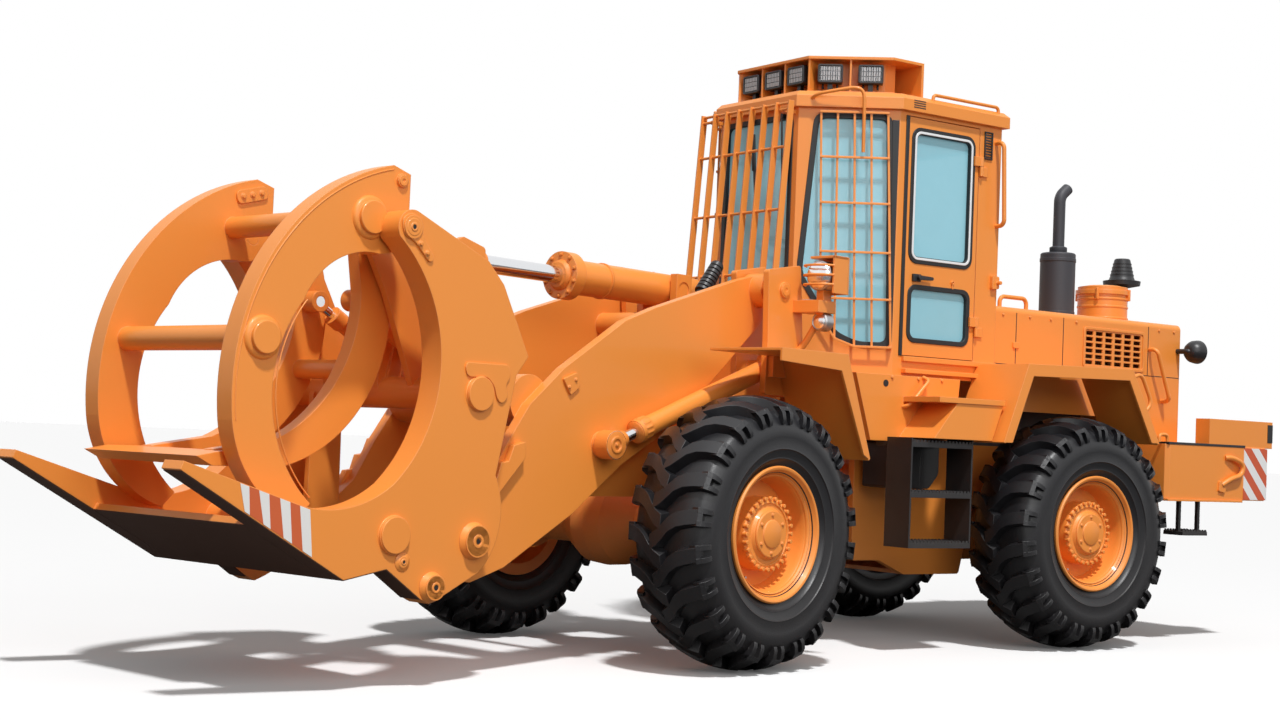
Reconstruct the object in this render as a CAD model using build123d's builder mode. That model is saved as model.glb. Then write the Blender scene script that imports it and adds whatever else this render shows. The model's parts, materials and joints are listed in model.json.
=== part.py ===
"""Forestry wheel loader with a log grapple. Millimetres, +X forward, +Y left, +Z up.

Each half of the machine is drawn straight in its own frame, with the articulation pin on the
origin, and is then placed: the rear half along X and the front half turned about the pin.
"""
import os
from math import atan2, cos, degrees, radians, sin, sqrt

from build123d import *

# Machine layout
ARTICULATION = 11.5
HALF_BASE = 1573
AXLE_Z = 740
HALF_TRACK = 985

# Tyres and wheels
TYRE_R = 740
TYRE_HALF = 260
BEAD_R = 318
FLANGE_R = 368
RIM_HALF = 216
HUB_R = 190
SPINDLE_R = 70
RUNNING_FIT = 0.05
SEAT_FIT = 0.3

# Boom, tower and lift cylinders, as (x, z) in the front half
BOOM_PIN = (985, 2107)
NOSE_PIN = (3341, 696)
BOOM_PIN_R = 45
ARM_Y = (480, 540)
TOWER_IN = (420, 460)
TOWER_OUT = (680, 720)
CROSS_TUBE = (2750, 1390)
CROSS_TUBE_R = 135
LIFT_BASE = (950, 1671)
LIFT_EYE = (2270, 1180)
LIFT_Y = 610

# Grapple, as (x, z) in the front half
JAW_Y = (610, 750)
JAW_BACK_TUBE = (3346, 1400)
JAW_FLOOR_TUBE = (3838, 728)
CLAMP_PIN = (3814, 2151)
CLAW_Y = (480, 590)
CLAMP_TOP_TUBE = (3935, 2190)
CLAMP_MID_TUBE = (4505, 1594)
PUSHER_PIN = (3680, 2130)
PUSHER_Y = (210, 290)
PUSHER_TUBE = (3685, 1495)
TINE_TIP = (5000, 1010)
PIN_R = 35

# Tilt and pusher cylinders, as (x, z) in the front half
TILT_BASE = (1215, 2100)
TILT_EYE = (2820, 2120)
PUSH_BASE = (3280, 1620)
PUSH_EYE = (3653, 1835)
PUSH_Y = 150

# Cab, as spans in the rear half
CAB_FRONT = 320
CAB_REAR = -1050
CAB_CORNER_X = -160
CAB_HALF = 780
CAB_NOSE_HALF = 380
CAB_Z = (1670, 3300)
CAB_WALL = 50
ROOF_T = 100
GLASS_T = 8

# Door in the cab's left side
DOOR_X = (-850, -225)
DOOR_Z = (1800, 3270)
DOOR_GAP = 6
HINGE_R = 14
HINGE_PIN_R = 8

# Hood, counterweight and fenders in the rear half
HOOD_X = (-2930, -1056)
HOOD_HALF = 750
HOOD_Z = (1500, 2170)
HOOD_WALL = 12
WEIGHT_CLEAR = 77
WEIGHT_LENGTH = 1075
WEIGHT_HALF = 1100
WEIGHT_Z = (970, 1335)
TAIL_BOX_W = 115
TAIL_BOX_Z = (1335, 1520)
FENDER_Y = (785, 1225)
SHEET = 15
WEIGHT_FRONT = -HALF_BASE - TYRE_R - WEIGHT_CLEAR
WEIGHT_X = (WEIGHT_FRONT - WEIGHT_LENGTH, WEIGHT_FRONT)
TAIL_BOX_X = (WEIGHT_X[0] - 60, WEIGHT_X[0] + 635)
HOOD_TAIL_X = WEIGHT_FRONT + 50
FENDER_FRONT = -HALF_BASE + 883

# Steering cylinders, as (x, y) in their own half
STEER_BASE = (-600, 220)
STEER_EYE = (430, 220)
STEER_Z = 930
STEER_WINDOW_Z = (STEER_Z - 75, STEER_Z + 75)
STEER_WINDOW_Y = (60, 380)
STEER_LUG = 30
STEER_LUG_Z = (STEER_WINDOW_Z[0] - STEER_LUG, STEER_WINDOW_Z[1])

# Place of the articulation pin, so that the box's middle is the origin
TURN = radians(ARTICULATION)
FRONT_X = TINE_TIP[0] * cos(TURN) + JAW_Y[1] * sin(TURN)
LEFT_Y = TINE_TIP[0] * sin(TURN) + JAW_Y[1] * cos(TURN)
RIGHT_Y = -HALF_TRACK - TYRE_HALF
PIVOT_X = -(FRONT_X + TAIL_BOX_X[0]) / 2
PIVOT_Y = -(LEFT_Y + RIGHT_Y) / 2
REAR = Location((PIVOT_X, PIVOT_Y, 0))
FRONT = Location((PIVOT_X, PIVOT_Y, 0), (0, 0, ARTICULATION))

SIDES = (1, -1)


def span(side, y):
    """Return a (low, high) span of y on the left (1) or on the right (-1)."""
    return y if side > 0 else (-y[1], -y[0])


def block(x, y, z, mode=Mode.ADD):
    """Add or cut a block given by its (low, high) spans."""
    with Locations(((x[0] + x[1]) / 2, (y[0] + y[1]) / 2, (z[0] + z[1]) / 2)):
        Box(x[1] - x[0], y[1] - y[0], z[1] - z[0], mode=mode)


def plate(points, y, radius=0, mode=Mode.ADD):
    """Add or cut a side-view outline of (x, z) points over a span of y."""
    with BuildSketch(Plane.XZ.offset(-y[1])) as outline:
        with BuildLine():
            if radius:
                FilletPolyline(*points, radius=radius, close=True)
            else:
                Polyline(*points, close=True)
        make_face()
    extrude(outline.sketch, amount=y[1] - y[0], mode=mode)


def shifted(x, points):
    """Return side-view points moved along X by a distance."""
    return [(x + dx, z) for dx, z in points]


def rod(start, end, radius, mode=Mode.ADD):
    """Add or cut a round bar between two points."""
    first = Vector(*start)
    last = Vector(*end)
    with Locations(Plane(origin=(first + last) / 2, z_dir=last - first).location):
        Cylinder(radius, (last - first).length, mode=mode)


def cross_bar(point, radius, y, mode=Mode.ADD):
    """Add or cut a round bar along Y through an (x, z) point."""
    rod((point[0], y[0], point[1]), (point[0], y[1], point[1]), radius, mode)


def turned(profile, centre, mode=Mode.ADD):
    """Turn a closed profile of (y, radius) points about the cross axis through (x, z)."""
    x, z = centre
    with BuildSketch(Plane(origin=(x, 0, z), x_dir=(0, 1, 0), z_dir=(1, 0, 0))) as outline:
        with BuildLine():
            Polyline(*profile, close=True)
        make_face()
    revolve(outline.sketch, axis=Axis((x, 0, z), (0, 1, 0)), mode=mode)


def along(base, eye, distance):
    """Return the (x, z) point at a distance from base on the line to eye."""
    run = sqrt((eye[0] - base[0]) ** 2 + (eye[1] - base[1]) ** 2)
    return (
        base[0] + (eye[0] - base[0]) * distance / run,
        base[1] + (eye[1] - base[1]) * distance / run,
    )


def bent_bar(points, radius, bend):
    """Add a round bar bent through its points."""
    with BuildLine() as path:
        FilletPolyline(*points, radius=bend)
    start = path.line @ 0
    with BuildSketch(Plane(origin=start, z_dir=path.line % 0)) as section:
        Circle(radius)
    sweep(section.sketch, path=path.line)


def save(sub_part, label, place):
    """Label a finished sub-part, place it in the machine's frame and write it."""
    piece = sub_part.part.moved(place)
    piece.label = label
    export_step(piece, f"parts/{label}.step")


os.makedirs("parts", exist_ok=True)


# Tyres and wheels, one pair on each axle
LUGS = 22
LUG_TOP_HALF = 37
LUG_FOOT_HALF = 55
LUG_DEPTH = 70
LUG_LEAD = 74
CARCASS_CROWN = 693
CARCASS_SHOULDER = (206, 655)
LUG_CORNER = LUG_LEAD + LUG_TOP_HALF
LUG_CREST = sqrt(TYRE_R**2 - LUG_CORNER**2)
# Columns: lead along the tread, distance from the middle plane, top height above the axle
LUG_PATH = (
    (LUG_LEAD, -30, LUG_CREST),
    (-15, 75, LUG_CREST),
    (-LUG_LEAD, 228, TYRE_R - 56),
    (-LUG_LEAD, 254, TYRE_R - 105),
)


def lug(hand):
    """Build one chevron lug from past the tread's middle to the shoulder of one hand."""
    with BuildPart() as bar:
        for (lead, width, top), (next_lead, next_width, next_top) in zip(LUG_PATH, LUG_PATH[1:]):
            with BuildSketch(Plane.XZ.offset(-hand * width)) as section:
                with BuildLine():
                    Polyline(
                        (lead - LUG_FOOT_HALF, top - LUG_DEPTH),
                        (lead - LUG_TOP_HALF, top),
                        (lead + LUG_TOP_HALF, top),
                        (lead + LUG_FOOT_HALF, top - LUG_DEPTH),
                        close=True,
                    )
                make_face()
            run = Vector(next_lead - lead, hand * (next_width - width), next_top - top)
            extrude(section.sketch, amount=run.length, dir=run)
    return bar.part


with BuildPart() as tyre:
    with BuildSketch(Plane.YZ):
        with BuildLine():
            inner = BEAD_R + SEAT_FIT
            bead = RIM_HALF - 14
            shoulder, shoulder_r = CARCASS_SHOULDER
            Polyline((-bead, FLANGE_R), (-bead, inner), (bead, inner), (bead, FLANGE_R))
            ThreePointArc((bead, FLANGE_R), (TYRE_HALF, 545), (shoulder, shoulder_r))
            ThreePointArc((shoulder, shoulder_r), (0, CARCASS_CROWN), (-shoulder, shoulder_r))
            ThreePointArc((-shoulder, shoulder_r), (-TYRE_HALF, 545), (-bead, FLANGE_R))
        make_face()
    revolve(axis=Axis.Y)
    # The foremost corner of one lug stands exactly on the ground
    first_turn = -degrees(atan2(LUG_CORNER, LUG_CREST))
    pitch = 360 / LUGS
    bars = []
    for hand, stagger in ((1, 0), (-1, 0.5)):
        bar = lug(hand)
        for index in range(LUGS):
            bars.append(bar.moved(Location((0, 0, 0), (0, first_turn + (index + stagger) * pitch, 0))))
    add(bars)


def wheel(x, side):
    """Build one rim with its dished disc and planetary hub, open side outwards."""
    # Columns: distance from the wheel's middle plane outwards, radius
    profile = (
        (-RIM_HALF, FLANGE_R),
        (-RIM_HALF + 14, FLANGE_R),
        (-RIM_HALF + 14, BEAD_R),
        (RIM_HALF - 14, BEAD_R),
        (RIM_HALF - 14, FLANGE_R),
        (RIM_HALF, FLANGE_R),
        (RIM_HALF, FLANGE_R - 26),
        (RIM_HALF - 40, FLANGE_R - 60),
        (95, 292),
        (50, 280),
        (50, HUB_R),
        (150, HUB_R - 6),
        (150, HUB_R - 48),
        (166, HUB_R - 60),
        (178, 90),
        (178, 0),
        (125, 0),
        (125, SPINDLE_R + RUNNING_FIT),
        (22, SPINDLE_R + RUNNING_FIT),
        (22, 300),
        (-RIM_HALF, 300),
    )
    middle = side * HALF_TRACK
    with BuildPart() as disc:
        turned([(middle + side * w, r) for w, r in profile], (x, AXLE_Z))
    return disc


# Columns: node suffix, x of the axle, side, place of that half
WHEELS = (
    ("front_left", HALF_BASE, 1, FRONT),
    ("front_right", HALF_BASE, -1, FRONT),
    ("rear_left", -HALF_BASE, 1, REAR),
    ("rear_right", -HALF_BASE, -1, REAR),
)
for suffix, axle_x, side, place in WHEELS:
    save(tyre, f"tyre_{suffix}", place * Location((axle_x, side * HALF_TRACK, AXLE_Z)))
    save(wheel(axle_x, side), f"wheel_{suffix}", place)


# Axles with their drive shafts
AXLE_PAD_Z = 900
AXLE_BEAM_R = 135
DIFF_R = 250
SHAFT_R = 45
SHAFT_GAP = 190


def axle(x, toward):
    """Build an axle housing with its differential, spindles, pads and drive shaft."""
    # Columns: distance from the machine's middle plane, radius
    half = (
        (0, DIFF_R),
        (110, DIFF_R - 10),
        (210, DIFF_R - 70),
        (280, AXLE_BEAM_R),
        (600, AXLE_BEAM_R),
        (630, HUB_R - 5),
        (690, HUB_R - 5),
        (690, 150),
        (HALF_TRACK + 15, 150),
        (HALF_TRACK + 15, SPINDLE_R),
        (HALF_TRACK + 120, SPINDLE_R),
        (HALF_TRACK + 120, 0),
    )
    outline = [(-y, r) for y, r in reversed(half)] + list(half[1:])
    with BuildPart() as housing:
        turned(outline, (x, AXLE_Z))
        for side in SIDES:
            block((x - 150, x + 150), span(side, (330, 460)), (AXLE_Z, AXLE_PAD_Z))
        rod((x, 0, AXLE_Z), (x + toward * 420, 0, AXLE_Z), 130)
        rod((x, 0, AXLE_Z), (-toward * SHAFT_GAP, 0, AXLE_Z), SHAFT_R)
        rod((x + toward * 420, 0, AXLE_Z), (x + toward * 470, 0, AXLE_Z), 85)
    return housing


save(axle(HALF_BASE, -1), "front_axle", FRONT)
save(axle(-HALF_BASE, 1), "rear_axle", REAR)


# Front frame with the tower that carries the boom
LUG_PIN_R = 50
LUG_LEVELS = ((560, 620), (1120, 1180))
PIVOT_EYE_R = 130
with BuildPart() as front_frame:
    belly = ((230, 520), (230, 1250), (620, 1420), (1150, 1420), (1300, 1300), (2230, 1140),
             (2230, AXLE_PAD_Z), (1050, AXLE_PAD_Z), (1000, 520))
    for side in SIDES:
        plate(belly, span(side, (380, 420)), 25)
        tower = ((660, 1250), (835, 2262), (1110, 2215), (1080, 1950), (1080, 1500), (1300, 1290))
        plate(tower, span(side, TOWER_IN), 20)
        upright = ((640, 1500), (795, 1800), (838, 2262), (1132, 2212), (1118, 1800), (1130, 1500))
        plate(upright, span(side, TOWER_OUT), 20)
        block((690, 760), span(side, (TOWER_IN[0], TOWER_OUT[1])), (1500, 1570))
        cross_bar(BOOM_PIN, BOOM_PIN_R, span(side, (TOWER_IN[0], TOWER_OUT[1] + 14)))
        cross_bar(LIFT_BASE, PIN_R, span(side, (TOWER_IN[0], TOWER_OUT[1])))
    block((230, 270), (-420, 420), (520, 1250))
    block((230, 1000), (-420, 420), (520, 545))
    block((620, 1150), (-TOWER_IN[1], TOWER_IN[1]), (1380, 1420))
    block((660, 700), (-TOWER_IN[1], TOWER_IN[1]), (1400, 1900))
    block((2190, 2230), (-420, 420), (1000, 1140))
    cross_bar((1240, 1330), 60, (-TOWER_IN[1], TOWER_IN[1]))
    for low, high in LUG_LEVELS:
        block((0, 300), (-PIVOT_EYE_R, PIVOT_EYE_R), (low, high))
        rod((0, 0, low), (0, 0, high), PIVOT_EYE_R)
    for low, high in LUG_LEVELS:
        rod((0, 0, low), (0, 0, high), LUG_PIN_R + RUNNING_FIT, Mode.SUBTRACT)
    rod((200, 0, AXLE_Z), (320, 0, AXLE_Z), SHAFT_R + 60, Mode.SUBTRACT)
    for side in SIDES:
        block((225, 275), span(side, STEER_WINDOW_Y), STEER_WINDOW_Z, Mode.SUBTRACT)
        lug_y = span(side, (STEER_EYE[1] - 60, STEER_EYE[1] + 60))
        for low in STEER_LUG_Z:
            block((230, STEER_EYE[0] + 100), lug_y, (low, low + STEER_LUG))
save(front_frame, "front_frame", FRONT)

# Rear frame with the articulation forks and the belly
FORK_GAP = 6
with BuildPart() as rear_frame:
    rail = ((-185, 1270), (WEIGHT_FRONT, 1270), (WEIGHT_FRONT, AXLE_PAD_Z), (-HALF_BASE + 323, AXLE_PAD_Z),
            (-1130, 430), (-640, 430), (-420, 520), (-185, 520))
    for side in SIDES:
        plate(rail, span(side, (400, 450)), 25)
        lug_y = span(side, (STEER_BASE[1] - 60, 400))
        for low in STEER_LUG_Z:
            block((STEER_BASE[0] - 100, STEER_BASE[0] + 100), lug_y, (low, low + STEER_LUG))
        pin = (STEER_BASE[0], side * STEER_BASE[1])
        rod((*pin, STEER_LUG_Z[0]), (*pin, STEER_LUG_Z[1] + STEER_LUG), PIN_R)
    block((-420, -370), (-400, 400), (430 + 90, 1270))
    block((-1130, -640), (-400, 400), (430, 455))
    block((WEIGHT_FRONT, WEIGHT_FRONT + 50), (-400, 400), (AXLE_PAD_Z, 1270))
    for low, high in LUG_LEVELS:
        for z0, z1 in ((low - FORK_GAP - 40, low - FORK_GAP), (high + FORK_GAP, high + FORK_GAP + 40)):
            block((-420, 0), (-PIVOT_EYE_R, PIVOT_EYE_R), (z0, z1))
            rod((0, 0, z0), (0, 0, z1), PIVOT_EYE_R)
        rod((0, 0, low - 60), (0, 0, high + 60), LUG_PIN_R)
    rod((-460, 0, AXLE_Z), (-300, 0, AXLE_Z), SHAFT_R + 60, Mode.SUBTRACT)
    for side in SIDES:
        block((-425, -365), span(side, STEER_WINDOW_Y), STEER_WINDOW_Z, Mode.SUBTRACT)
save(rear_frame, "rear_frame", REAR)


# Hydraulic cylinders: a barrel on its base pin and a rod that ends in an eye
def barrel(base, eye, y, size, base_pin_r):
    """Build a bored barrel from its base eye at (x, z) towards the rod's eye."""
    outer, rod_r, length, eye_r, half = size
    end = along(base, eye, length)
    head = along(base, eye, length - 70)
    rear = along(base, eye, eye_r * 0.6)
    rod((rear[0], y, rear[1]), (end[0], y, end[1]), outer)
    rod((head[0], y, head[1]), (end[0], y, end[1]), outer + 8)
    cross_bar(base, eye_r, (y - half, y + half))
    bottom = along(base, eye, eye_r + 25)
    beyond = along(base, eye, length + 5)
    rod((bottom[0], y, bottom[1]), (beyond[0], y, beyond[1]), rod_r + SEAT_FIT, Mode.SUBTRACT)
    cross_bar(base, base_pin_r + RUNNING_FIT, (y - half - 1, y + half + 1), Mode.SUBTRACT)


def piston_rod(base, eye, y, size, tail):
    """Build a piston rod from its tail inside the barrel to its eye."""
    rod_r, eye_r, half = size[1], size[3], size[4]
    start = along(base, eye, tail)
    end = along(base, eye, sqrt((eye[0] - base[0]) ** 2 + (eye[1] - base[1]) ** 2))
    rod((start[0], y, start[1]), (end[0], y, end[1]), rod_r)
    cross_bar(eye, eye_r, (y - half, y + half))


# Columns: barrel radius, rod radius, barrel length, eye radius, eye half width
LIFT_SIZE = (56, 32, 1200, 75, 48)
PUSH_SIZE = (42, 22, 310, 52, 38)
LIFT_TAIL = 200
PUSH_TAIL = 95
with BuildPart() as lift_barrels:
    for side in SIDES:
        barrel(LIFT_BASE, LIFT_EYE, side * LIFT_Y, LIFT_SIZE, PIN_R)
save(lift_barrels, "lift_barrels", FRONT)
with BuildPart() as lift_rods:
    for side in SIDES:
        piston_rod(LIFT_BASE, LIFT_EYE, side * LIFT_Y, LIFT_SIZE, LIFT_TAIL)
save(lift_rods, "lift_rods", FRONT)
with BuildPart() as pusher_barrels:
    for side in SIDES:
        barrel(PUSH_BASE, PUSH_EYE, side * PUSH_Y, PUSH_SIZE, PIN_R - 10)
save(pusher_barrels, "pusher_barrels", FRONT)
with BuildPart() as pusher_rods:
    for side in SIDES:
        piston_rod(PUSH_BASE, PUSH_EYE, side * PUSH_Y, PUSH_SIZE, PUSH_TAIL)
save(pusher_rods, "pusher_rods", FRONT)

# Tilt cylinder, hung in trunnions ahead of its closed end
TILT_R = 98
TILT_ROD_R = 48
TILT_FRONT = 875
TILT_BACK = 250
TILT_TAIL = 380
TRUNNION_R = 45
TRUNNION_Y = 150
with BuildPart() as tilt_barrel:
    back = along(TILT_BASE, TILT_EYE, -TILT_BACK)
    front = along(TILT_BASE, TILT_EYE, TILT_FRONT)
    neck = along(TILT_BASE, TILT_EYE, TILT_FRONT - 75)
    rod((back[0], 0, back[1]), (front[0], 0, front[1]), TILT_R)
    rod((neck[0], 0, neck[1]), (front[0], 0, front[1]), TILT_R + 36)
    cross_bar(TILT_BASE, TRUNNION_R, (-TRUNNION_Y, TRUNNION_Y))
    bottom = along(TILT_BASE, TILT_EYE, -TILT_BACK + 60)
    beyond = along(TILT_BASE, TILT_EYE, TILT_FRONT + 5)
    rod((bottom[0], 0, bottom[1]), (beyond[0], 0, beyond[1]), TILT_ROD_R + SEAT_FIT, Mode.SUBTRACT)
save(tilt_barrel, "tilt_barrel", FRONT)
with BuildPart() as tilt_rod:
    tail = along(TILT_BASE, TILT_EYE, TILT_TAIL)
    rod((tail[0], 0, tail[1]), (TILT_EYE[0], 0, TILT_EYE[1]), TILT_ROD_R)
    cross_bar(TILT_EYE, 85, (-48, 48))
save(tilt_rod, "tilt_rod", FRONT)

# Steering cylinders, one on each side of the articulation pin
STEER_SIZE = (45, 24, 560, 55, 50)
STEER_ROD = 670


def steer_points(side):
    """Return base and eye of a steering cylinder as (x, y) in the rear half."""
    ex, ey = STEER_EYE[0], side * STEER_EYE[1]
    eye = (ex * cos(TURN) - ey * sin(TURN), ex * sin(TURN) + ey * cos(TURN))
    return (STEER_BASE[0], side * STEER_BASE[1]), eye


for side, suffix in ((1, "left"), (-1, "right")):
    base, eye = steer_points(side)
    outer, rod_r, length, eye_r, half = STEER_SIZE
    z = STEER_Z
    with BuildPart() as steer_barrel:
        rear = along(base, eye, eye_r * 0.6)
        end = along(base, eye, length)
        head = along(base, eye, length - 60)
        rod((*rear, z), (*end, z), outer)
        rod((*head, z), (*end, z), outer + 12)
        rod((*base, z - half), (*base, z + half), eye_r)
        bottom = along(base, eye, eye_r + 25)
        beyond = along(base, eye, length + 5)
        rod((*bottom, z), (*beyond, z), rod_r + SEAT_FIT, Mode.SUBTRACT)
        rod((*base, z - half - 1), (*base, z + half + 1), PIN_R + RUNNING_FIT, Mode.SUBTRACT)
    save(steer_barrel, f"steer_barrel_{suffix}", REAR)
    with BuildPart() as steer_rod:
        run = sqrt((eye[0] - base[0]) ** 2 + (eye[1] - base[1]) ** 2)
        tail = along(base, eye, run - STEER_ROD)
        rod((*tail, z), (*eye, z), rod_r)
        rod((*eye, z - half), (*eye, z + half), eye_r)
    save(steer_rod, f"steer_rod_{suffix}", REAR)


# Boom: two plate arms, a large cross tube and the trunnion beam of the tilt cylinder
HUB_CLEAR = 15
with BuildPart() as boom:
    arm = ((930, 2215), (1190, 2150), (1880, 1935), (2115, 1847), (2564, 1567), (2800, 1370), (2960, 1150),
           (3090, 940), (3200, 850), (3440, 840), (3500, 700), (3400, 520), (3162, 475), (2936, 545),
           (2463, 813), (2106, 1074), (1761, 1262), (1385, 1560), (954, 1930), (850, 2060))
    for side in SIDES:
        plate(arm, span(side, ARM_Y), 40)
        cross_bar(BOOM_PIN, 100, span(side, (TOWER_IN[1] + HUB_CLEAR, ARM_Y[1] + 90)))
        cross_bar(NOSE_PIN, 130, span(side, (ARM_Y[0] - 20, ARM_Y[1] + 50)))
        cross_bar(LIFT_EYE, 70, span(side, (ARM_Y[1], LIFT_Y - LIFT_SIZE[4] - 6)))
        block((1150, 1280), span(side, (TRUNNION_Y - 45, TRUNNION_Y + 5)), (1880, 2190))
    cross_bar(CROSS_TUBE, CROSS_TUBE_R, (-ARM_Y[0], ARM_Y[0]))
    cross_bar((1215, 1900), 75, (-ARM_Y[0], ARM_Y[0]))
    for side in SIDES:
        bore = BOOM_PIN_R + RUNNING_FIT
        cross_bar(BOOM_PIN, bore, span(side, (TOWER_IN[0], TOWER_OUT[1])), Mode.SUBTRACT)
        cross_bar(NOSE_PIN, bore, span(side, (ARM_Y[0] - 40, JAW_Y[0])), Mode.SUBTRACT)
    cross_bar(TILT_BASE, TRUNNION_R + RUNNING_FIT, (-TRUNNION_Y - 10, TRUNNION_Y + 10), Mode.SUBTRACT)
save(boom, "boom", FRONT)

# Lower jaw: two thick side plates that run out as tines, tubes, floor and inner lugs
with BuildPart() as jaw:
    for side in SIDES:
        y = span(side, JAW_Y)
        with BuildSketch(Plane.XZ.offset(-y[1])):
            with BuildLine():
                Polyline((3770, 2225), (3320, 2040), (3214, 1935), (3030, 1597), (3106, 1500),
                         (3215, 1010))
                ThreePointArc((3215, 1010), (3195, 690), (3300, 545))
                Polyline((3300, 545), (3540, 430), (3604, 405), (3660, 430), (3870, 573), (4117, 529))
                Polyline((4117, 529), TINE_TIP, (4985, 1046), (4388, 868))
                ThreePointArc((4388, 868), (4110, 852), (3852, 960))
                ThreePointArc((3852, 960), (3613, 1360), (3880, 2100))
                ThreePointArc((3880, 2100), (3860, 2215), (3770, 2225))
            make_face()
        extrude(amount=y[1] - y[0])
        cross_bar(JAW_BACK_TUBE, 84, span(side, (JAW_Y[1], JAW_Y[1] + 14)))
        cross_bar(JAW_FLOOR_TUBE, 90, span(side, (JAW_Y[1], JAW_Y[1] + 14)))
        cross_bar(NOSE_PIN, 78, span(side, (JAW_Y[1], JAW_Y[1] + 36)))
        cross_bar((3596, 483), 60, span(side, (JAW_Y[1], JAW_Y[1] + 36)))
        cross_bar(CLAMP_PIN, 55, span(side, (JAW_Y[1], JAW_Y[1] + 16)))
        cross_bar(NOSE_PIN, BOOM_PIN_R, span(side, (400, JAW_Y[0])))
        nose_lug = ((3250, 1400), (3440, 1400), (3450, 640), (3330, 580), (3240, 690))
        plate(nose_lug, span(side, (410, 445)), 30)
        cross_bar(CLAMP_PIN, PIN_R, span(side, (CLAW_Y[0], JAW_Y[0])))
        tilt_lug = ((3250, 1400), (3430, 1400), (3430, 1960), (2900, 2235), (2740, 2190), (2740, 2050),
                    (3180, 1850))
        plate(tilt_lug, span(side, (55, 90)), 25)
        push_lug = ((3280, 1400), (3410, 1400), (3620, 1880), (3765, 2130), (3690, 2215), (3590, 2160),
                    (3300, 1640))
        plate(push_lug, span(side, (310, 350)), 25)
        cross_bar(PUSHER_PIN, PIN_R, span(side, (200, 350)))
        base_lug = ((3230, 1400), (3400, 1400), (3340, 1660), (3240, 1660))
        for low in (PUSH_Y - 60, PUSH_Y + 42):
            plate(base_lug, span(side, (low, low + 18)), 20)
        cross_bar(PUSH_BASE, PIN_R - 10, span(side, (PUSH_Y - 60, PUSH_Y + 60)))
    cross_bar(JAW_BACK_TUBE, 82, (-JAW_Y[0], JAW_Y[0]))
    cross_bar(JAW_FLOOR_TUBE, 88, (-JAW_Y[0], JAW_Y[0]))
    floor = ((4560, 771), (4545, 800), (4110, 566), (3880, 612), (3870, 573), (4117, 529))
    plate(floor, (-JAW_Y[0], JAW_Y[0]))
save(jaw, "jaw", FRONT)

# Upper clamp: two curved claws, each with a lug over its pin, and two cross tubes
with BuildPart() as clamp:
    for side in SIDES:
        y = span(side, CLAW_Y)
        with BuildSketch(Plane.XZ.offset(-y[1])):
            with BuildLine():
                ThreePointArc((3805, 2452), (4500, 1930), (4643, 1223))
                ThreePointArc((4643, 1223), (4510, 940), (4270, 790))
                Line((4270, 790), (4200, 862))
                ThreePointArc((4200, 862), (4428, 1250), (4289, 1776))
                ThreePointArc((4289, 1776), (4158, 1946), (3900, 2030))
                ThreePointArc((3900, 2030), (3760, 2065), (3700, 2190))
                Polyline((3700, 2190), (3700, 2420), (3805, 2452))
            make_face()
        extrude(amount=y[1] - y[0])
        cross_bar(CLAMP_TOP_TUBE, 92, span(side, (CLAW_Y[1], CLAW_Y[1] + 14)))
        cross_bar(CLAMP_TOP_TUBE, 72, span(side, (CLAW_Y[1], CLAW_Y[1] + 18)))
        cross_bar(CLAMP_MID_TUBE, 88, span(side, (CLAW_Y[1], CLAW_Y[1] + 10)))
        cross_bar(CLAMP_MID_TUBE, 66, span(side, (CLAW_Y[1], CLAW_Y[1] + 16)))
        cross_bar((3755, 2385), 32, span(side, (CLAW_Y[1], CLAW_Y[1] + 14)))
        cross_bar(CLAMP_PIN, PIN_R + RUNNING_FIT, span(side, (CLAW_Y[0] - 5, CLAW_Y[1] + 5)), Mode.SUBTRACT)
    cross_bar(CLAMP_TOP_TUBE, 55, (-CLAW_Y[0], CLAW_Y[0]))
    cross_bar(CLAMP_MID_TUBE, 58, (-CLAW_Y[0], CLAW_Y[0]))
save(clamp, "clamp", FRONT)

# Log pusher: two hooked arms, a tube between them and a wedge bar across their ends
with BuildPart() as pusher:
    for side in SIDES:
        y = span(side, PUSHER_Y)
        with BuildSketch(Plane.XZ.offset(-y[1])):
            with BuildLine():
                Line((3765, 2130), (3723, 1863))
                ThreePointArc((3723, 1863), (3842, 1436), (4189, 1143))
                Polyline((4189, 1143), (4520, 1090), (4520, 1020), (4132, 1020))
                ThreePointArc((4132, 1020), (3666, 1349), (3575, 2012))
                Polyline((3575, 2012), (3600, 2130))
                ThreePointArc((3600, 2130), (3680, 2212), (3765, 2130))
            make_face()
        extrude(amount=y[1] - y[0])
        cross_bar(PUSH_EYE, 48, span(side, (PUSH_Y + PUSH_SIZE[4] + 6, PUSHER_Y[0])))
        cross_bar(PUSHER_PIN, PIN_R + RUNNING_FIT, span(side, (190, 300)), Mode.SUBTRACT)
    cross_bar(PUSHER_TUBE, 48, (-PUSHER_Y[1], PUSHER_Y[1]))
    plate(((4400, 1020), (4400, 1085), (4600, 1085), (4725, 1062), (4640, 1020)), (-455, 455))
save(pusher, "pusher", FRONT)

# Front fenders over the back of the front wheels
with BuildPart() as front_fenders:
    # Columns: distance from the axle, height
    shell = ((47, 1735), (-543, 1735), (-783, 1160), (-768, 1150), (-531, 1720), (47, 1720))
    lip = ((47, 1720), (-543, 1720), (-778, 1155), (-723, 1180), (-488, 1640), (47, 1665))
    gusset = ((-783, 1600), (-463, 1600), (-463, 1722), (-545, 1722))
    for side in SIDES:
        plate(shifted(HALF_BASE, shell), span(side, (TOWER_OUT[1], FENDER_Y[1])))
        plate(shifted(HALF_BASE, lip), span(side, (FENDER_Y[1] - SHEET, FENDER_Y[1])))
        plate(shifted(HALF_BASE, gusset), span(side, (TOWER_OUT[1], TOWER_OUT[1] + 40)))
save(front_fenders, "front_fenders", FRONT)

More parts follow.
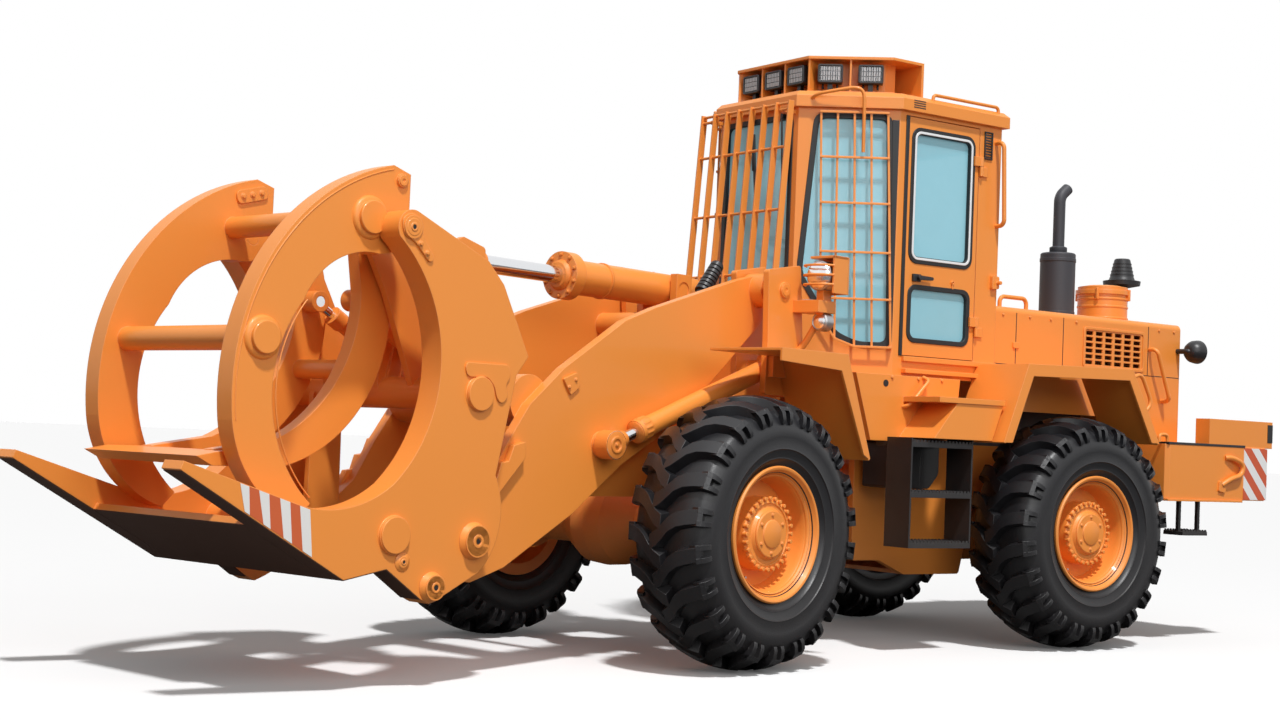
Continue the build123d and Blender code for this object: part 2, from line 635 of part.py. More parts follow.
# Head lamps on brackets beside the tower
LAMP_X = 800
LAMP_Y = 860
with BuildPart() as head_lamps:
    for side in SIDES:
        block((LAMP_X - 60, LAMP_X + 100), span(side, (TOWER_OUT[1], LAMP_Y + 45)), (1985, 2055))
        rod((LAMP_X - 40, side * LAMP_Y, 2040), (LAMP_X - 40, side * LAMP_Y, 2140), 20)
        rod((LAMP_X - 75, side * LAMP_Y, 2200), (LAMP_X + 45, side * LAMP_Y, 2200), 85)
        rod((LAMP_X - 40, side * LAMP_Y, 1935), (LAMP_X + 20, side * LAMP_Y, 1935), 52)
save(head_lamps, "head_lamps", FRONT)


# Cab: a hollow shell with a faceted front, split from its roof and door
def facet_middle(plan, facet):
    """Return the middle and the outward normal of a front facet: 1 left, 0 front, -1 right."""
    front, nose_half, corner_x, half = plan
    if facet == 0:
        return (front, 0), (1, 0)
    run = sqrt((front - corner_x) ** 2 + (half - nose_half) ** 2)
    middle = ((front + corner_x) / 2, facet * (half + nose_half) / 2)
    return middle, ((half - nose_half) / run, facet * (front - corner_x) / run)


def facet_plan(plan, rear, grow):
    """Return a faceted outline in plan, moved outwards by a distance."""
    front, nose_half, corner_x, half = plan
    nx, ny = facet_middle(plan, 1)[1]
    left = (
        (front + grow, nose_half + grow * (1 - nx) / ny),
        (corner_x + grow * (1 - ny) / nx, half + grow),
        (rear - grow, half + grow),
    )
    return left + tuple((x, -y) for x, y in reversed(left))


CAB = (CAB_FRONT, CAB_NOSE_HALF, CAB_CORNER_X, CAB_HALF)


def cab_plan(grow):
    """Return the cab's outline in plan, moved outwards by a distance."""
    return facet_plan(CAB, CAB_REAR, grow)


def wall_plane(point, normal, z):
    """Return a plane on an outer wall with its x level and its y upwards."""
    return Plane(
        origin=(point[0], point[1], z),
        x_dir=(-normal[1], normal[0], 0),
        z_dir=(normal[0], normal[1], 0),
    )


# Columns: wall point, outward normal, middle height, width, height
WINDOWS = (
    ((CAB_FRONT, 0), (1, 0), 2670, 640, 1160),
    ((-537, -CAB_HALF), (0, -1), 2790, 500, 820),
    ((CAB_REAR, 0), (-1, 0), 2800, 1100, 760),
)
WINDOW_R = 50
# Corner window, columns: distance rearwards along the facet, height
CORNER_WINDOW = ((-195, 3250), (245, 3250), (285, 1855), (95, 1855), (-45, 1915), (-270, 2276))
GLASS_INSET = 20
# Columns: height of the middle, height of the window in the door
DOOR_WINDOWS = ((2790, 800), (2060, 330))
DOOR_WINDOW_W = 510
DOOR_MID_X = (DOOR_X[0] + DOOR_X[1]) / 2
HINGE_AT = (DOOR_X[0] - DOOR_GAP - 6, CAB_HALF + HINGE_R)
HINGE_Z = (2010, 3030)


def corner_window(side, inset, shrink):
    """Return the face of a corner window, set in from the wall and smaller by a seat."""
    with BuildSketch(wall_plane(*facet_middle(CAB, side), 0).offset(-inset)) as outline:
        with BuildLine():
            FilletPolyline(*[(side * u, z) for u, z in CORNER_WINDOW], radius=WINDOW_R, close=True)
        make_face()
        if shrink:
            offset(amount=-shrink, mode=Mode.REPLACE)
    return outline.sketch


with BuildPart() as cab_shell:
    with BuildSketch(Plane.XY.offset(CAB_Z[0])):
        with BuildLine():
            Polyline(*cab_plan(0), close=True)
        make_face()
    extrude(amount=CAB_Z[1] - CAB_Z[0])
    with BuildSketch(Plane.XY.offset(CAB_Z[0] + CAB_WALL)):
        with BuildLine():
            Polyline(*cab_plan(-CAB_WALL), close=True)
        make_face()
    extrude(amount=CAB_Z[1] - CAB_Z[0] - CAB_WALL, mode=Mode.SUBTRACT)
    for point, normal, z, width, height in WINDOWS:
        with BuildSketch(wall_plane(point, normal, z)):
            RectangleRounded(width, height, WINDOW_R)
        extrude(amount=-CAB_WALL - 10, mode=Mode.SUBTRACT)
    for side in SIDES:
        extrude(corner_window(side, 0, 0), amount=-CAB_WALL - 10, mode=Mode.SUBTRACT)
    block((DOOR_X[0] - DOOR_GAP, DOOR_X[1] + DOOR_GAP), (CAB_HALF - CAB_WALL - 5, CAB_HALF + 5),
          (DOOR_Z[0] - DOOR_GAP, DOOR_Z[1] + DOOR_GAP), Mode.SUBTRACT)
    for z in HINGE_Z:
        block((HINGE_AT[0] - 60, HINGE_AT[0]), (CAB_HALF, CAB_HALF + 12), (z - 60, z))
        rod((*HINGE_AT, z - 60), (*HINGE_AT, z), HINGE_R)
        rod((*HINGE_AT, z), (*HINGE_AT, z + 50), HINGE_PIN_R)
save(cab_shell, "cab_shell", REAR)

with BuildPart() as cab_door:
    block(DOOR_X, (CAB_HALF - CAB_WALL, CAB_HALF), DOOR_Z)
    for z, height in DOOR_WINDOWS:
        with BuildSketch(wall_plane((DOOR_MID_X, CAB_HALF), (0, 1), z)):
            RectangleRounded(DOOR_WINDOW_W, height, WINDOW_R)
        extrude(amount=-CAB_WALL - 5, mode=Mode.SUBTRACT)
    for z in HINGE_Z:
        leaf = (z + 2, z + 62)
        block((HINGE_AT[0], DOOR_X[0] + 50), (CAB_HALF + HINGE_R - 6, CAB_HALF + HINGE_R + 6), leaf)
        block((DOOR_X[0] + 5, DOOR_X[0] + 50), (CAB_HALF, CAB_HALF + HINGE_R), leaf)
        rod((*HINGE_AT, z + 2), (*HINGE_AT, z + 62), HINGE_R)
        rod((*HINGE_AT, z + 1), (*HINGE_AT, z + 53), HINGE_PIN_R + RUNNING_FIT, Mode.SUBTRACT)
save(cab_door, "cab_door", REAR)

with BuildPart() as door_glass:
    for z, height in DOOR_WINDOWS:
        with BuildSketch(wall_plane((DOOR_MID_X, CAB_HALF), (0, 1), z).offset(-GLASS_INSET)):
            RectangleRounded(DOOR_WINDOW_W - 2 * SEAT_FIT, height - 2 * SEAT_FIT, WINDOW_R)
        extrude(amount=-GLASS_T)
save(door_glass, "door_glass", REAR)

with BuildPart() as cab_glass:
    for point, normal, z, width, height in WINDOWS:
        with BuildSketch(wall_plane(point, normal, z).offset(-GLASS_INSET)):
            RectangleRounded(width - 2 * SEAT_FIT, height - 2 * SEAT_FIT, WINDOW_R)
        extrude(amount=-GLASS_T)
    for side in SIDES:
        extrude(corner_window(side, GLASS_INSET, SEAT_FIT), amount=-GLASS_T)
save(cab_glass, "cab_glass", REAR)

# Roof with the faceted box of work lamps on its front
ROOF_TOP = CAB_Z[1] + ROOF_T
ROOF_GROW = 35
LAMP_BOX = (230, 350, -160, 700)
LAMP_BOX_REAR = -420
LAMP_BOX_H = 236
LAMP_BOX_SHEET = 18
LAMP_POCKET = 125
LAMP_BOX_Z = (ROOF_TOP, ROOF_TOP + LAMP_BOX_H)
# Columns: facet, place along it
LAMP_WALLS = ((1, 0), (0, -112), (0, 112), (-1, 0))
ROOF_LAMPS = ((1, -125), (1, 125), (0, -220), (0, 0), (0, 220), (-1, -125), (-1, 125))
LAMP_WALL = (LAMP_POCKET, 12, LAMP_BOX_H)
LAMP_WALL_INSET = LAMP_POCKET / 2 + 12


def in_lamp_box(facet, place_along, inset, z):
    """Return a place in the lamp box that faces out of one facet."""
    point, normal = facet_middle(LAMP_BOX, facet)
    x = point[0] - normal[1] * place_along - normal[0] * inset
    y = point[1] + normal[0] * place_along - normal[1] * inset
    return Location((x, y, z), (0, 0, degrees(atan2(normal[1], normal[0]))))


with BuildPart() as cab_roof:
    with BuildSketch(Plane.XY.offset(CAB_Z[1])):
        with BuildLine():
            Polyline(*cab_plan(ROOF_GROW), close=True)
        make_face()
    extrude(amount=ROOF_T)
    chamfer(faces().sort_by(Axis.Z)[-1].edges(), 30)
    for low, high, inset in (
        (LAMP_BOX_Z[0], LAMP_BOX_Z[0] + LAMP_BOX_SHEET, 0),
        (*LAMP_BOX_Z, LAMP_POCKET),
        (LAMP_BOX_Z[1] - LAMP_BOX_SHEET, LAMP_BOX_Z[1], 0),
    ):
        with BuildSketch(Plane.XY.offset(low)):
            with BuildLine():
                Polyline(*facet_plan(LAMP_BOX, LAMP_BOX_REAR, -inset), close=True)
            make_face()
        extrude(amount=high - low)
    block((LAMP_BOX_REAR, LAMP_BOX_REAR + LAMP_BOX_SHEET), (-LAMP_BOX[3], LAMP_BOX[3]), LAMP_BOX_Z)
    middle_z = sum(LAMP_BOX_Z) / 2
    for facet, place_along in LAMP_WALLS:
        with Locations(in_lamp_box(facet, place_along, LAMP_WALL_INSET, middle_z)):
            Box(*LAMP_WALL)
    for side in SIDES:
        nx, ny = facet_middle(LAMP_BOX, side)[1]
        halfway = Location((0, 0, 0), (0, 0, degrees(atan2(ny, nx)) / 2))
        corner = Location((LAMP_BOX[0], side * LAMP_BOX[1], middle_z))
        with Locations(corner * halfway * Location((-LAMP_WALL_INSET, 0, 0))):
            Box(*LAMP_WALL)
save(cab_roof, "cab_roof", REAR)

# Work lamps in the box
LAMP_FACE = (60, 150, 110)
LAMP_INSET = 55
LAMP_FOOT = 30
LAMP_FOOT_H = 57
LAMP_Z = LAMP_BOX_Z[0] + LAMP_BOX_SHEET + LAMP_FOOT_H + LAMP_FACE[2] / 2
with BuildPart() as roof_lamps:
    for facet, place_along in ROOF_LAMPS:
        with Locations(in_lamp_box(facet, place_along, LAMP_INSET, LAMP_Z)):
            Box(*LAMP_FACE)
            with Locations((0, 0, -(LAMP_FACE[2] + LAMP_FOOT_H) / 2)):
                Box(LAMP_FOOT, LAMP_FOOT, LAMP_FOOT_H)
save(roof_lamps, "roof_lamps", REAR)

# Window guards: slats before the windscreen and grids on the corner windows
SLATS = 8
SLAT_DEPTH = 44
SLAT_T = 10
GUARD_TOP = (CAB_FRONT + 105, 3320)
GUARD_LOW = (CAB_FRONT + 195, 2030)
GUARD_HALF = 430
GUARD_RODS = (0.01, 0.22, 0.52, 0.82, 0.99)
GUARD_ROD_R = 9
GUARD_ARM = 12
GUARD_ARM_Y = 345
GUARD_ARM_Z = (2042, 3270)
GRID_STAND = 35
GRID_W = 14
GRID_T = 12
GRID_LAYER = GRID_STAND + GRID_T - 3
GRID_TOP = 3268
GRID_BARS = (3268, 2990, 2710, 2410, 2125)
# Columns: distance rearwards along the facet at the top, at the foot, height of the foot
GRID_UPRIGHTS = ((-175, -136, 2020), (-73, -45, 1880), (29, 76, 1835), (131, 183, 1835), (233, 297, 1835))


def guard_point(share):
    """Return the (x, z) point at a share of the way down the slats."""
    return (
        GUARD_TOP[0] + (GUARD_LOW[0] - GUARD_TOP[0]) * share,
        GUARD_TOP[1] + (GUARD_LOW[1] - GUARD_TOP[1]) * share,
    )


def flat_bar(side, first, second, out, depth=GRID_T):
    """Add a flat bar before a corner window, between two points along the facet and up."""
    run = Vector(second[0] - first[0], second[1] - first[1]).normalized() * (GRID_W / 2)
    with BuildSketch(wall_plane(*facet_middle(CAB, side), 0).offset(out)) as outline:
        with BuildLine():
            Polyline(
                (side * (first[0] - run.X - run.Y), first[1] - run.Y + run.X),
                (side * (second[0] + run.X - run.Y), second[1] + run.Y + run.X),
                (side * (second[0] + run.X + run.Y), second[1] + run.Y - run.X),
                (side * (first[0] - run.X + run.Y), first[1] - run.Y - run.X),
                close=True,
            )
        make_face()
    extrude(outline.sketch, amount=depth)


def upright_at(upright, z):
    """Return how far along the facet an upright is at a height."""
    top, foot, foot_z = upright
    return top + (foot - top) * (GRID_TOP - z) / (GRID_TOP - foot_z)


with BuildPart() as cab_guards:
    half = SLAT_DEPTH / 2
    slat = ((GUARD_TOP[0] - half, GUARD_TOP[1]), (GUARD_TOP[0] + half, GUARD_TOP[1]),
            (GUARD_LOW[0] + half, GUARD_LOW[1]), (GUARD_LOW[0] - half, GUARD_LOW[1]))
    for index in range(SLATS):
        y = -GUARD_HALF + 2 * GUARD_HALF * index / (SLATS - 1)
        plate(slat, (y - SLAT_T / 2, y + SLAT_T / 2))
    for share in GUARD_RODS:
        cross_bar(guard_point(share), GUARD_ROD_R, (-GUARD_HALF, GUARD_HALF))
    for side in SIDES:
        for z in GUARD_ARM_Z:
            x = guard_point((GUARD_TOP[1] - z) / (GUARD_TOP[1] - GUARD_LOW[1]))[0]
            arm_y = (side * GUARD_ARM_Y - GUARD_ARM, side * GUARD_ARM_Y + GUARD_ARM)
            block((CAB_FRONT, x), arm_y, (z - GUARD_ARM, z + GUARD_ARM))
            cross_bar((x, z), GUARD_ROD_R, span(side, (GUARD_ARM_Y - GUARD_ARM, GUARD_HALF)))
        for top, foot, foot_z in GRID_UPRIGHTS:
            flat_bar(side, (top, GRID_TOP), (foot, foot_z), GRID_STAND)
        for z in GRID_BARS:
            ends = [(upright_at(GRID_UPRIGHTS[index], z), z) for index in (0, -1)]
            flat_bar(side, *ends, GRID_LAYER)
        feet = [(foot, foot_z) for top, foot, foot_z in GRID_UPRIGHTS]
        for first, second in zip(feet, feet[1:]):
            flat_bar(side, first, second, GRID_LAYER)
        for u, z in ((GRID_UPRIGHTS[0][0], GRID_TOP), (GRID_UPRIGHTS[-1][0], GRID_TOP), feet[0], feet[-1]):
            flat_bar(side, (u - 2, z), (u + 2, z), 0, GRID_STAND + 4)
save(cab_guards, "cab_guards", REAR)

# Seat and steering column on the cab floor
FLOOR_TOP = CAB_Z[0] + CAB_WALL
with BuildPart() as seat:
    block((-640, -340), (-150, 150), (FLOOR_TOP, FLOOR_TOP + 330))
    block((-720, -220), (-240, 240), (FLOOR_TOP + 330, FLOOR_TOP + 450))
    back = ((-720, 450), (-600, 450), (-700, 1080), (-800, 1080))
    plate([(x, FLOOR_TOP + z) for x, z in back], (-230, 230))
save(seat, "seat", REAR)
WHEEL_AT = (60, 2440)
with BuildPart() as steering_column:
    block((110, 250), (-170, 170), (FLOOR_TOP, FLOOR_TOP + 380))
    rod((180, 0, FLOOR_TOP + 300), (WHEEL_AT[0], 0, WHEEL_AT[1]), 35)
    with Locations(Plane(origin=(WHEEL_AT[0], 0, WHEEL_AT[1]), z_dir=(-0.4, 0, 0.92)).location):
        Torus(200, 14)
        Box(390, 30, 14)
        Cylinder(45, 30)
save(steering_column, "steering_column", REAR)

# Hood with its grille, over the engine
GRILLE_MID = (-2230, 1955)
GRILLE_PITCH = (97, 39)
GRILLE_HOLE = (72, 26)
with BuildPart() as hood:
    block(HOOD_X, (-HOOD_HALF, HOOD_HALF), HOOD_Z)
    fillet(edges().filter_by(Axis.X).group_by(Axis.Z)[-1], 40)
    block((HOOD_X[0], HOOD_TAIL_X), (-HOOD_HALF, HOOD_HALF), (WEIGHT_Z[1], HOOD_Z[0]))
    inside = (-HOOD_HALF + HOOD_WALL, HOOD_HALF - HOOD_WALL)
    hollow_z = (HOOD_Z[0] - 5, HOOD_Z[1] - HOOD_WALL)
    block((HOOD_X[0] + HOOD_WALL, HOOD_X[1] - HOOD_WALL), inside, hollow_z, Mode.SUBTRACT)
    tail_x = (HOOD_X[0] + HOOD_WALL, HOOD_TAIL_X - HOOD_WALL)
    block(tail_x, inside, (WEIGHT_Z[1] - 5, HOOD_Z[0]), Mode.SUBTRACT)
    for side in SIDES:
        with BuildSketch(wall_plane((GRILLE_MID[0], side * HOOD_HALF), (0, side), GRILLE_MID[1])):
            with GridLocations(*GRILLE_PITCH, 6, 6):
                Rectangle(*GRILLE_HOLE)
        extrude(amount=-HOOD_WALL - 5, mode=Mode.SUBTRACT)
save(hood, "hood", REAR)
with BuildPart() as engine:
    block((-2300, -1250), (-420, 420), (1270, 1950))
    block((-1090, -720), (-400, 400), (830, 1250))
save(engine, "engine", REAR)

# Exhaust and air intake on the hood
MUFFLER_AT = (-2100, 350)
MUFFLER_R = 120
MUFFLER_H = 450
PIPE_R = 40
PIPE_TOP = 3075
with BuildPart() as muffler:
    rod((*MUFFLER_AT, HOOD_Z[1]), (*MUFFLER_AT, HOOD_Z[1] + MUFFLER_H), MUFFLER_R)
    fillet(edges().filter_by(GeomType.CIRCLE).sort_by(Axis.Z)[-1], 14)
    x, y = MUFFLER_AT
    bent_bar(((x, y, HOOD_Z[1] + MUFFLER_H - 10), (x, y, PIPE_TOP - 60), (x - 75, y, PIPE_TOP)), PIPE_R, 90)
save(muffler, "muffler", REAR)
CLEANER_AT = (-2575, 350)
with BuildPart() as air_cleaner:
    rod((*CLEANER_AT, HOOD_Z[1]), (*CLEANER_AT, HOOD_Z[1] + 250), 172)
    rod((*CLEANER_AT, HOOD_Z[1] + 195), (*CLEANER_AT, HOOD_Z[1] + 225), 184)
save(air_cleaner, "air_cleaner", REAR)
PRECLEANER_AT = (-2822, 310)
# Columns: radius, height above the hood
PRECLEANER = ((45, 0), (45, 270), (128, 288), (132, 318), (92, 326), (84, 345), (56, 470), (48, 478))
with BuildPart() as precleaner:
    with BuildSketch(Plane.XZ):
        with BuildLine():
            Polyline((0, 0), *PRECLEANER, (0, PRECLEANER[-1][1]), close=True)
        make_face()
    revolve(axis=Axis.Z)
save(precleaner, "precleaner", REAR * Location((*PRECLEANER_AT, HOOD_Z[1])))

# Rear fenders and the step boxes before them
with BuildPart() as rear_fenders:
    # Columns: distance from the axle, height
    shell = ((883, 1290), (683, 1780), (-289, 1800), (-571, 1331), (-557, 1322), (-277, 1785),
             (673, 1765), (868, 1285))
    lip = ((883, 1290), (683, 1780), (-289, 1800), (-571, 1331), (-497, 1331), (-262, 1725),
           (638, 1705), (808, 1290))
    for side in SIDES:
        plate(shifted(-HALF_BASE, shell), span(side, FENDER_Y))
        plate(shifted(-HALF_BASE, lip), span(side, (FENDER_Y[1] - SHEET, FENDER_Y[1])))
        bracket_y = span(side, (HOOD_HALF, FENDER_Y[0] + 5))
        block((-HALF_BASE - 127, -HALF_BASE + 473), bracket_y, (1740, 1780))
save(rear_fenders, "rear_fenders", REAR)
SKIRT_LOW = 1270
SKIRT_Y = (400, 640, 850)
STEP_Y = 1150
STEP_Z = (1295, 1512)
STEP_LID = 33
with BuildPart() as side_boxes:
    rear = ((FENDER_FRONT + 10, CAB_Z[0]), (FENDER_FRONT + 50, SKIRT_LOW))
    inner = ((150, CAB_Z[0]), *rear, (-45, SKIRT_LOW), (35, 1315))
    outer = ((195, CAB_Z[0]), *rear, (60, SKIRT_LOW))
    # Columns: distance from the fender's foot, height
    box = ((330, STEP_Z[1]), (-62, STEP_Z[1]), (25, STEP_Z[0]), (515, STEP_Z[0]))
    lid = (FENDER_FRONT - 70, FENDER_FRONT + 490)
    for side in SIDES:
        plate(inner, span(side, SKIRT_Y[:2]))
        plate(outer, span(side, SKIRT_Y[1:]))
        plate(shifted(FENDER_FRONT, box), span(side, (SKIRT_Y[2], STEP_Y)))
        block(lid, span(side, (SKIRT_Y[2], STEP_Y + 10)), (STEP_Z[1], STEP_Z[1] + STEP_LID))
save(side_boxes, "side_boxes", REAR)

# Counterweight with its tail boxes and the tow hitch
HITCH_X = WEIGHT_X[0] + 25
HITCH_RECESS = 85
HITCH_HALF = 120
HITCH_Z = (1010, 1220)
HITCH_THROAT = (1080, 1150)
HITCH_BORE_R = 25
with BuildPart() as counterweight:
    block(WEIGHT_X, (-WEIGHT_HALF, WEIGHT_HALF), WEIGHT_Z)
    chamfer(edges().filter_by(Axis.Z), 25)
    for side in SIDES:
        block(TAIL_BOX_X, span(side, (WEIGHT_HALF - 5 - TAIL_BOX_W, WEIGHT_HALF - 5)), TAIL_BOX_Z)
    recess = WEIGHT_X[0] + HITCH_RECESS
    block((WEIGHT_X[0], recess), (-HITCH_HALF - 40, HITCH_HALF + 40), WEIGHT_Z, Mode.SUBTRACT)
    block((HITCH_X - 2 * HITCH_BORE_R, recess), (-HITCH_HALF, HITCH_HALF), HITCH_Z)
    throat = (HITCH_X - 2 * HITCH_BORE_R, HITCH_X + 1.6 * HITCH_BORE_R)
    block(throat, (-HITCH_HALF + 40, HITCH_HALF - 40), HITCH_THROAT, Mode.SUBTRACT)
    rod((HITCH_X, 0, HITCH_Z[0]), (HITCH_X, 0, HITCH_Z[1]), HITCH_BORE_R, Mode.SUBTRACT)
save(counterweight, "counterweight", REAR)

# Ladders under the step boxes and steps under the counterweight
LADDER_X = (FENDER_FRONT + 130, FENDER_FRONT + 635)
LADDER_Y = (880, 1090)
LADDER_SIDE = 12
LADDER_STEP = 30
LADDER_LEVELS = (640, 940, SKIRT_LOW - LADDER_STEP)
TAIL_STEP_X = (WEIGHT_X[0] + 585, WEIGHT_X[0] + 845)
TAIL_STEP_Y = (WEIGHT_HALF - 200, WEIGHT_HALF - 40)
TAIL_STEP_Z = (725, 750)
TAIL_STEP_BAR = 24
with BuildPart() as ladders:
    for side in SIDES:
        for x in LADDER_X:
            upright = (x - LADDER_SIDE / 2, x + LADDER_SIDE / 2)
            block(upright, span(side, LADDER_Y), (LADDER_LEVELS[0], STEP_Z[0]))
        for z in LADDER_LEVELS:
            block(LADDER_X, span(side, LADDER_Y), (z, z + LADDER_STEP))
        block(LADDER_X, span(side, (SKIRT_Y[2] - 70, LADDER_Y[0])), (SKIRT_LOW - LADDER_STEP, SKIRT_LOW))
        for x in (TAIL_STEP_X[0] + 30, TAIL_STEP_X[1] - 30):
            bar_x = (x - TAIL_STEP_BAR / 2, x + TAIL_STEP_BAR / 2)
            bar_y = (TAIL_STEP_Y[0] + 85, TAIL_STEP_Y[0] + 85 + TAIL_STEP_BAR)
            block(bar_x, span(side, bar_y), (TAIL_STEP_Z[0], WEIGHT_Z[0]))
        block(TAIL_STEP_X, span(side, TAIL_STEP_Y), TAIL_STEP_Z)
save(ladders, "ladders", REAR)

# Hand rails of bent bar
# Columns: points of the bar on the left side
RAIL_OUT = 70
RAILS = (
    ((-1000, CAB_HALF, 3200), (-1000, CAB_HALF + RAIL_OUT, 3200),
     (-1025, CAB_HALF + RAIL_OUT, 2670), (-1025, CAB_HALF, 2670)),
    ((-2600, HOOD_HALF, 1980), (-2600, HOOD_HALF + RAIL_OUT, 1980),
     (-2750, HOOD_HALF + RAIL_OUT, 1630), (-2750, HOOD_HALF, 1630)),
    ((-1230, 640, HOOD_Z[1]), (-1230, 640, HOOD_Z[1] + 75),
     (-1480, 640, HOOD_Z[1] + 75), (-1480, 640, HOOD_Z[1])),
)
with BuildPart() as hand_rails:
    for points in RAILS:
        for side in SIDES:
            bent_bar([(x, side * y, z) for x, y, z in points], 14, 40)
save(hand_rails, "hand_rails", REAR)

# Rear lamps beside the hood
with BuildPart() as rear_lamps:
    for side in SIDES:
        rod((-2900, side * (HOOD_HALF + 95), 1985), (-3000, side * (HOOD_HALF + 95), 1985), 80)
        rod((-2900, side * HOOD_HALF, 1985), (-2900, side * (HOOD_HALF + 95), 1985), 18)
save(rear_lamps, "rear_lamps", REAR)
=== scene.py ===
"""Forestry wheel loader with a log grapple: finishes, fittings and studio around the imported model."""

import json
import logging
import math
from dataclasses import dataclass
from enum import Enum
from typing import Iterable, Sequence, Union

import bmesh
import bpy
from mathutils import Matrix, Vector


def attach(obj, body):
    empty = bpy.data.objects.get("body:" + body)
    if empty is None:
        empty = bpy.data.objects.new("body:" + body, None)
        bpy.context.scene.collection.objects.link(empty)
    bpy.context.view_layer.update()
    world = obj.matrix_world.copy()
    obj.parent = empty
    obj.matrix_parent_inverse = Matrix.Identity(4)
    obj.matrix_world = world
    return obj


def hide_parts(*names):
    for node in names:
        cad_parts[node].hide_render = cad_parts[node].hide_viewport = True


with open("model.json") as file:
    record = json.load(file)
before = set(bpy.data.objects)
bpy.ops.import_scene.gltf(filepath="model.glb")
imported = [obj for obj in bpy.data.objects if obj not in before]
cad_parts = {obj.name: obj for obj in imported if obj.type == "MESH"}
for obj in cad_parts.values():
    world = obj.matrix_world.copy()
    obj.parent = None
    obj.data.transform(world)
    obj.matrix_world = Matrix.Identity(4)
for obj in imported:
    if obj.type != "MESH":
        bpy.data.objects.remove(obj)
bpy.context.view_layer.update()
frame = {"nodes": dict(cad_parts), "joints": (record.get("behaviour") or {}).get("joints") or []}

LOG = logging.getLogger("loader")
TURN = 2 * math.pi
SHARP = math.radians(38)
LEAST_R = 1e-4

Point = Sequence[float]
Outline = Sequence[Sequence[float]]
Flat = tuple[float, float]
Solid = tuple[float, float, float]
Colour = tuple[float, float, float]
Socket = bpy.types.NodeSocket
Value = Union[float, Sequence[float], Socket]


class Side(Enum):
    """The machine's two sides, with the sign of Y."""

    LEFT = 1
    RIGHT = -1


class Facet(Enum):
    """The facets of a cut-off front in plan, with the sign of Y."""

    LEFT = 1
    FRONT = 0
    RIGHT = -1


class Nodes:
    """Short calls for building one node tree."""

    def __init__(self, tree: bpy.types.NodeTree) -> None:
        """Keep the tree that the calls add to."""
        self.tree = tree

    def set(self, socket: Socket, value: Value) -> None:
        """Link or set one input.

        Args:
            socket: the input.
            value: a constant or the socket to link from.
        """
        if isinstance(value, Socket):
            self.tree.links.new(value, socket)
        else:
            socket.default_value = value

    def add(
        self, kind: str, inputs: dict[Union[str, int], Value] | None = None, **settings: object
    ) -> bpy.types.Node:
        """Add a node.

        Args:
            kind: the node's class name without ShaderNode.
            inputs: a constant or a linked socket for each input by name or index.
            settings: the node's own properties.

        Returns:
            The new node.
        """
        node = self.tree.nodes.new("ShaderNode" + kind)
        for key, value in settings.items():
            setattr(node, key, value)
        for key, value in (inputs or {}).items():
            self.set(node.inputs[key], value)
        return node

    def math(self, operation: str, first: Value, second: Value = 0.0) -> Socket:
        """Return the result of a math node, held between 0 and 1."""
        return self.add("Math", {0: first, 1: second}, operation=operation, use_clamp=True).outputs[0]

    def mix(self, share: Value, first: Value, second: Value, blend: str = "MIX") -> Socket:
        """Mix two colours.

        Args:
            share: how much of the second colour is taken.
            first: the first colour.
            second: the second colour.
            blend: the mix node's blend type.

        Returns:
            The mixed colour.
        """
        node = self.add("Mix", data_type="RGBA", blend_type=blend)
        for place, value in zip((0, 6, 7), (share, first, second)):
            self.set(node.inputs[place], value)
        return node.outputs[2]

    def noise(self, place: Socket, scale: Value, detail: float, roughness: float = 0.5) -> Socket:
        """Return the value of a noise texture."""
        inputs = {"Vector": place, "Scale": scale, "Detail": detail, "Roughness": roughness}
        return self.add("TexNoise", inputs).outputs[0]


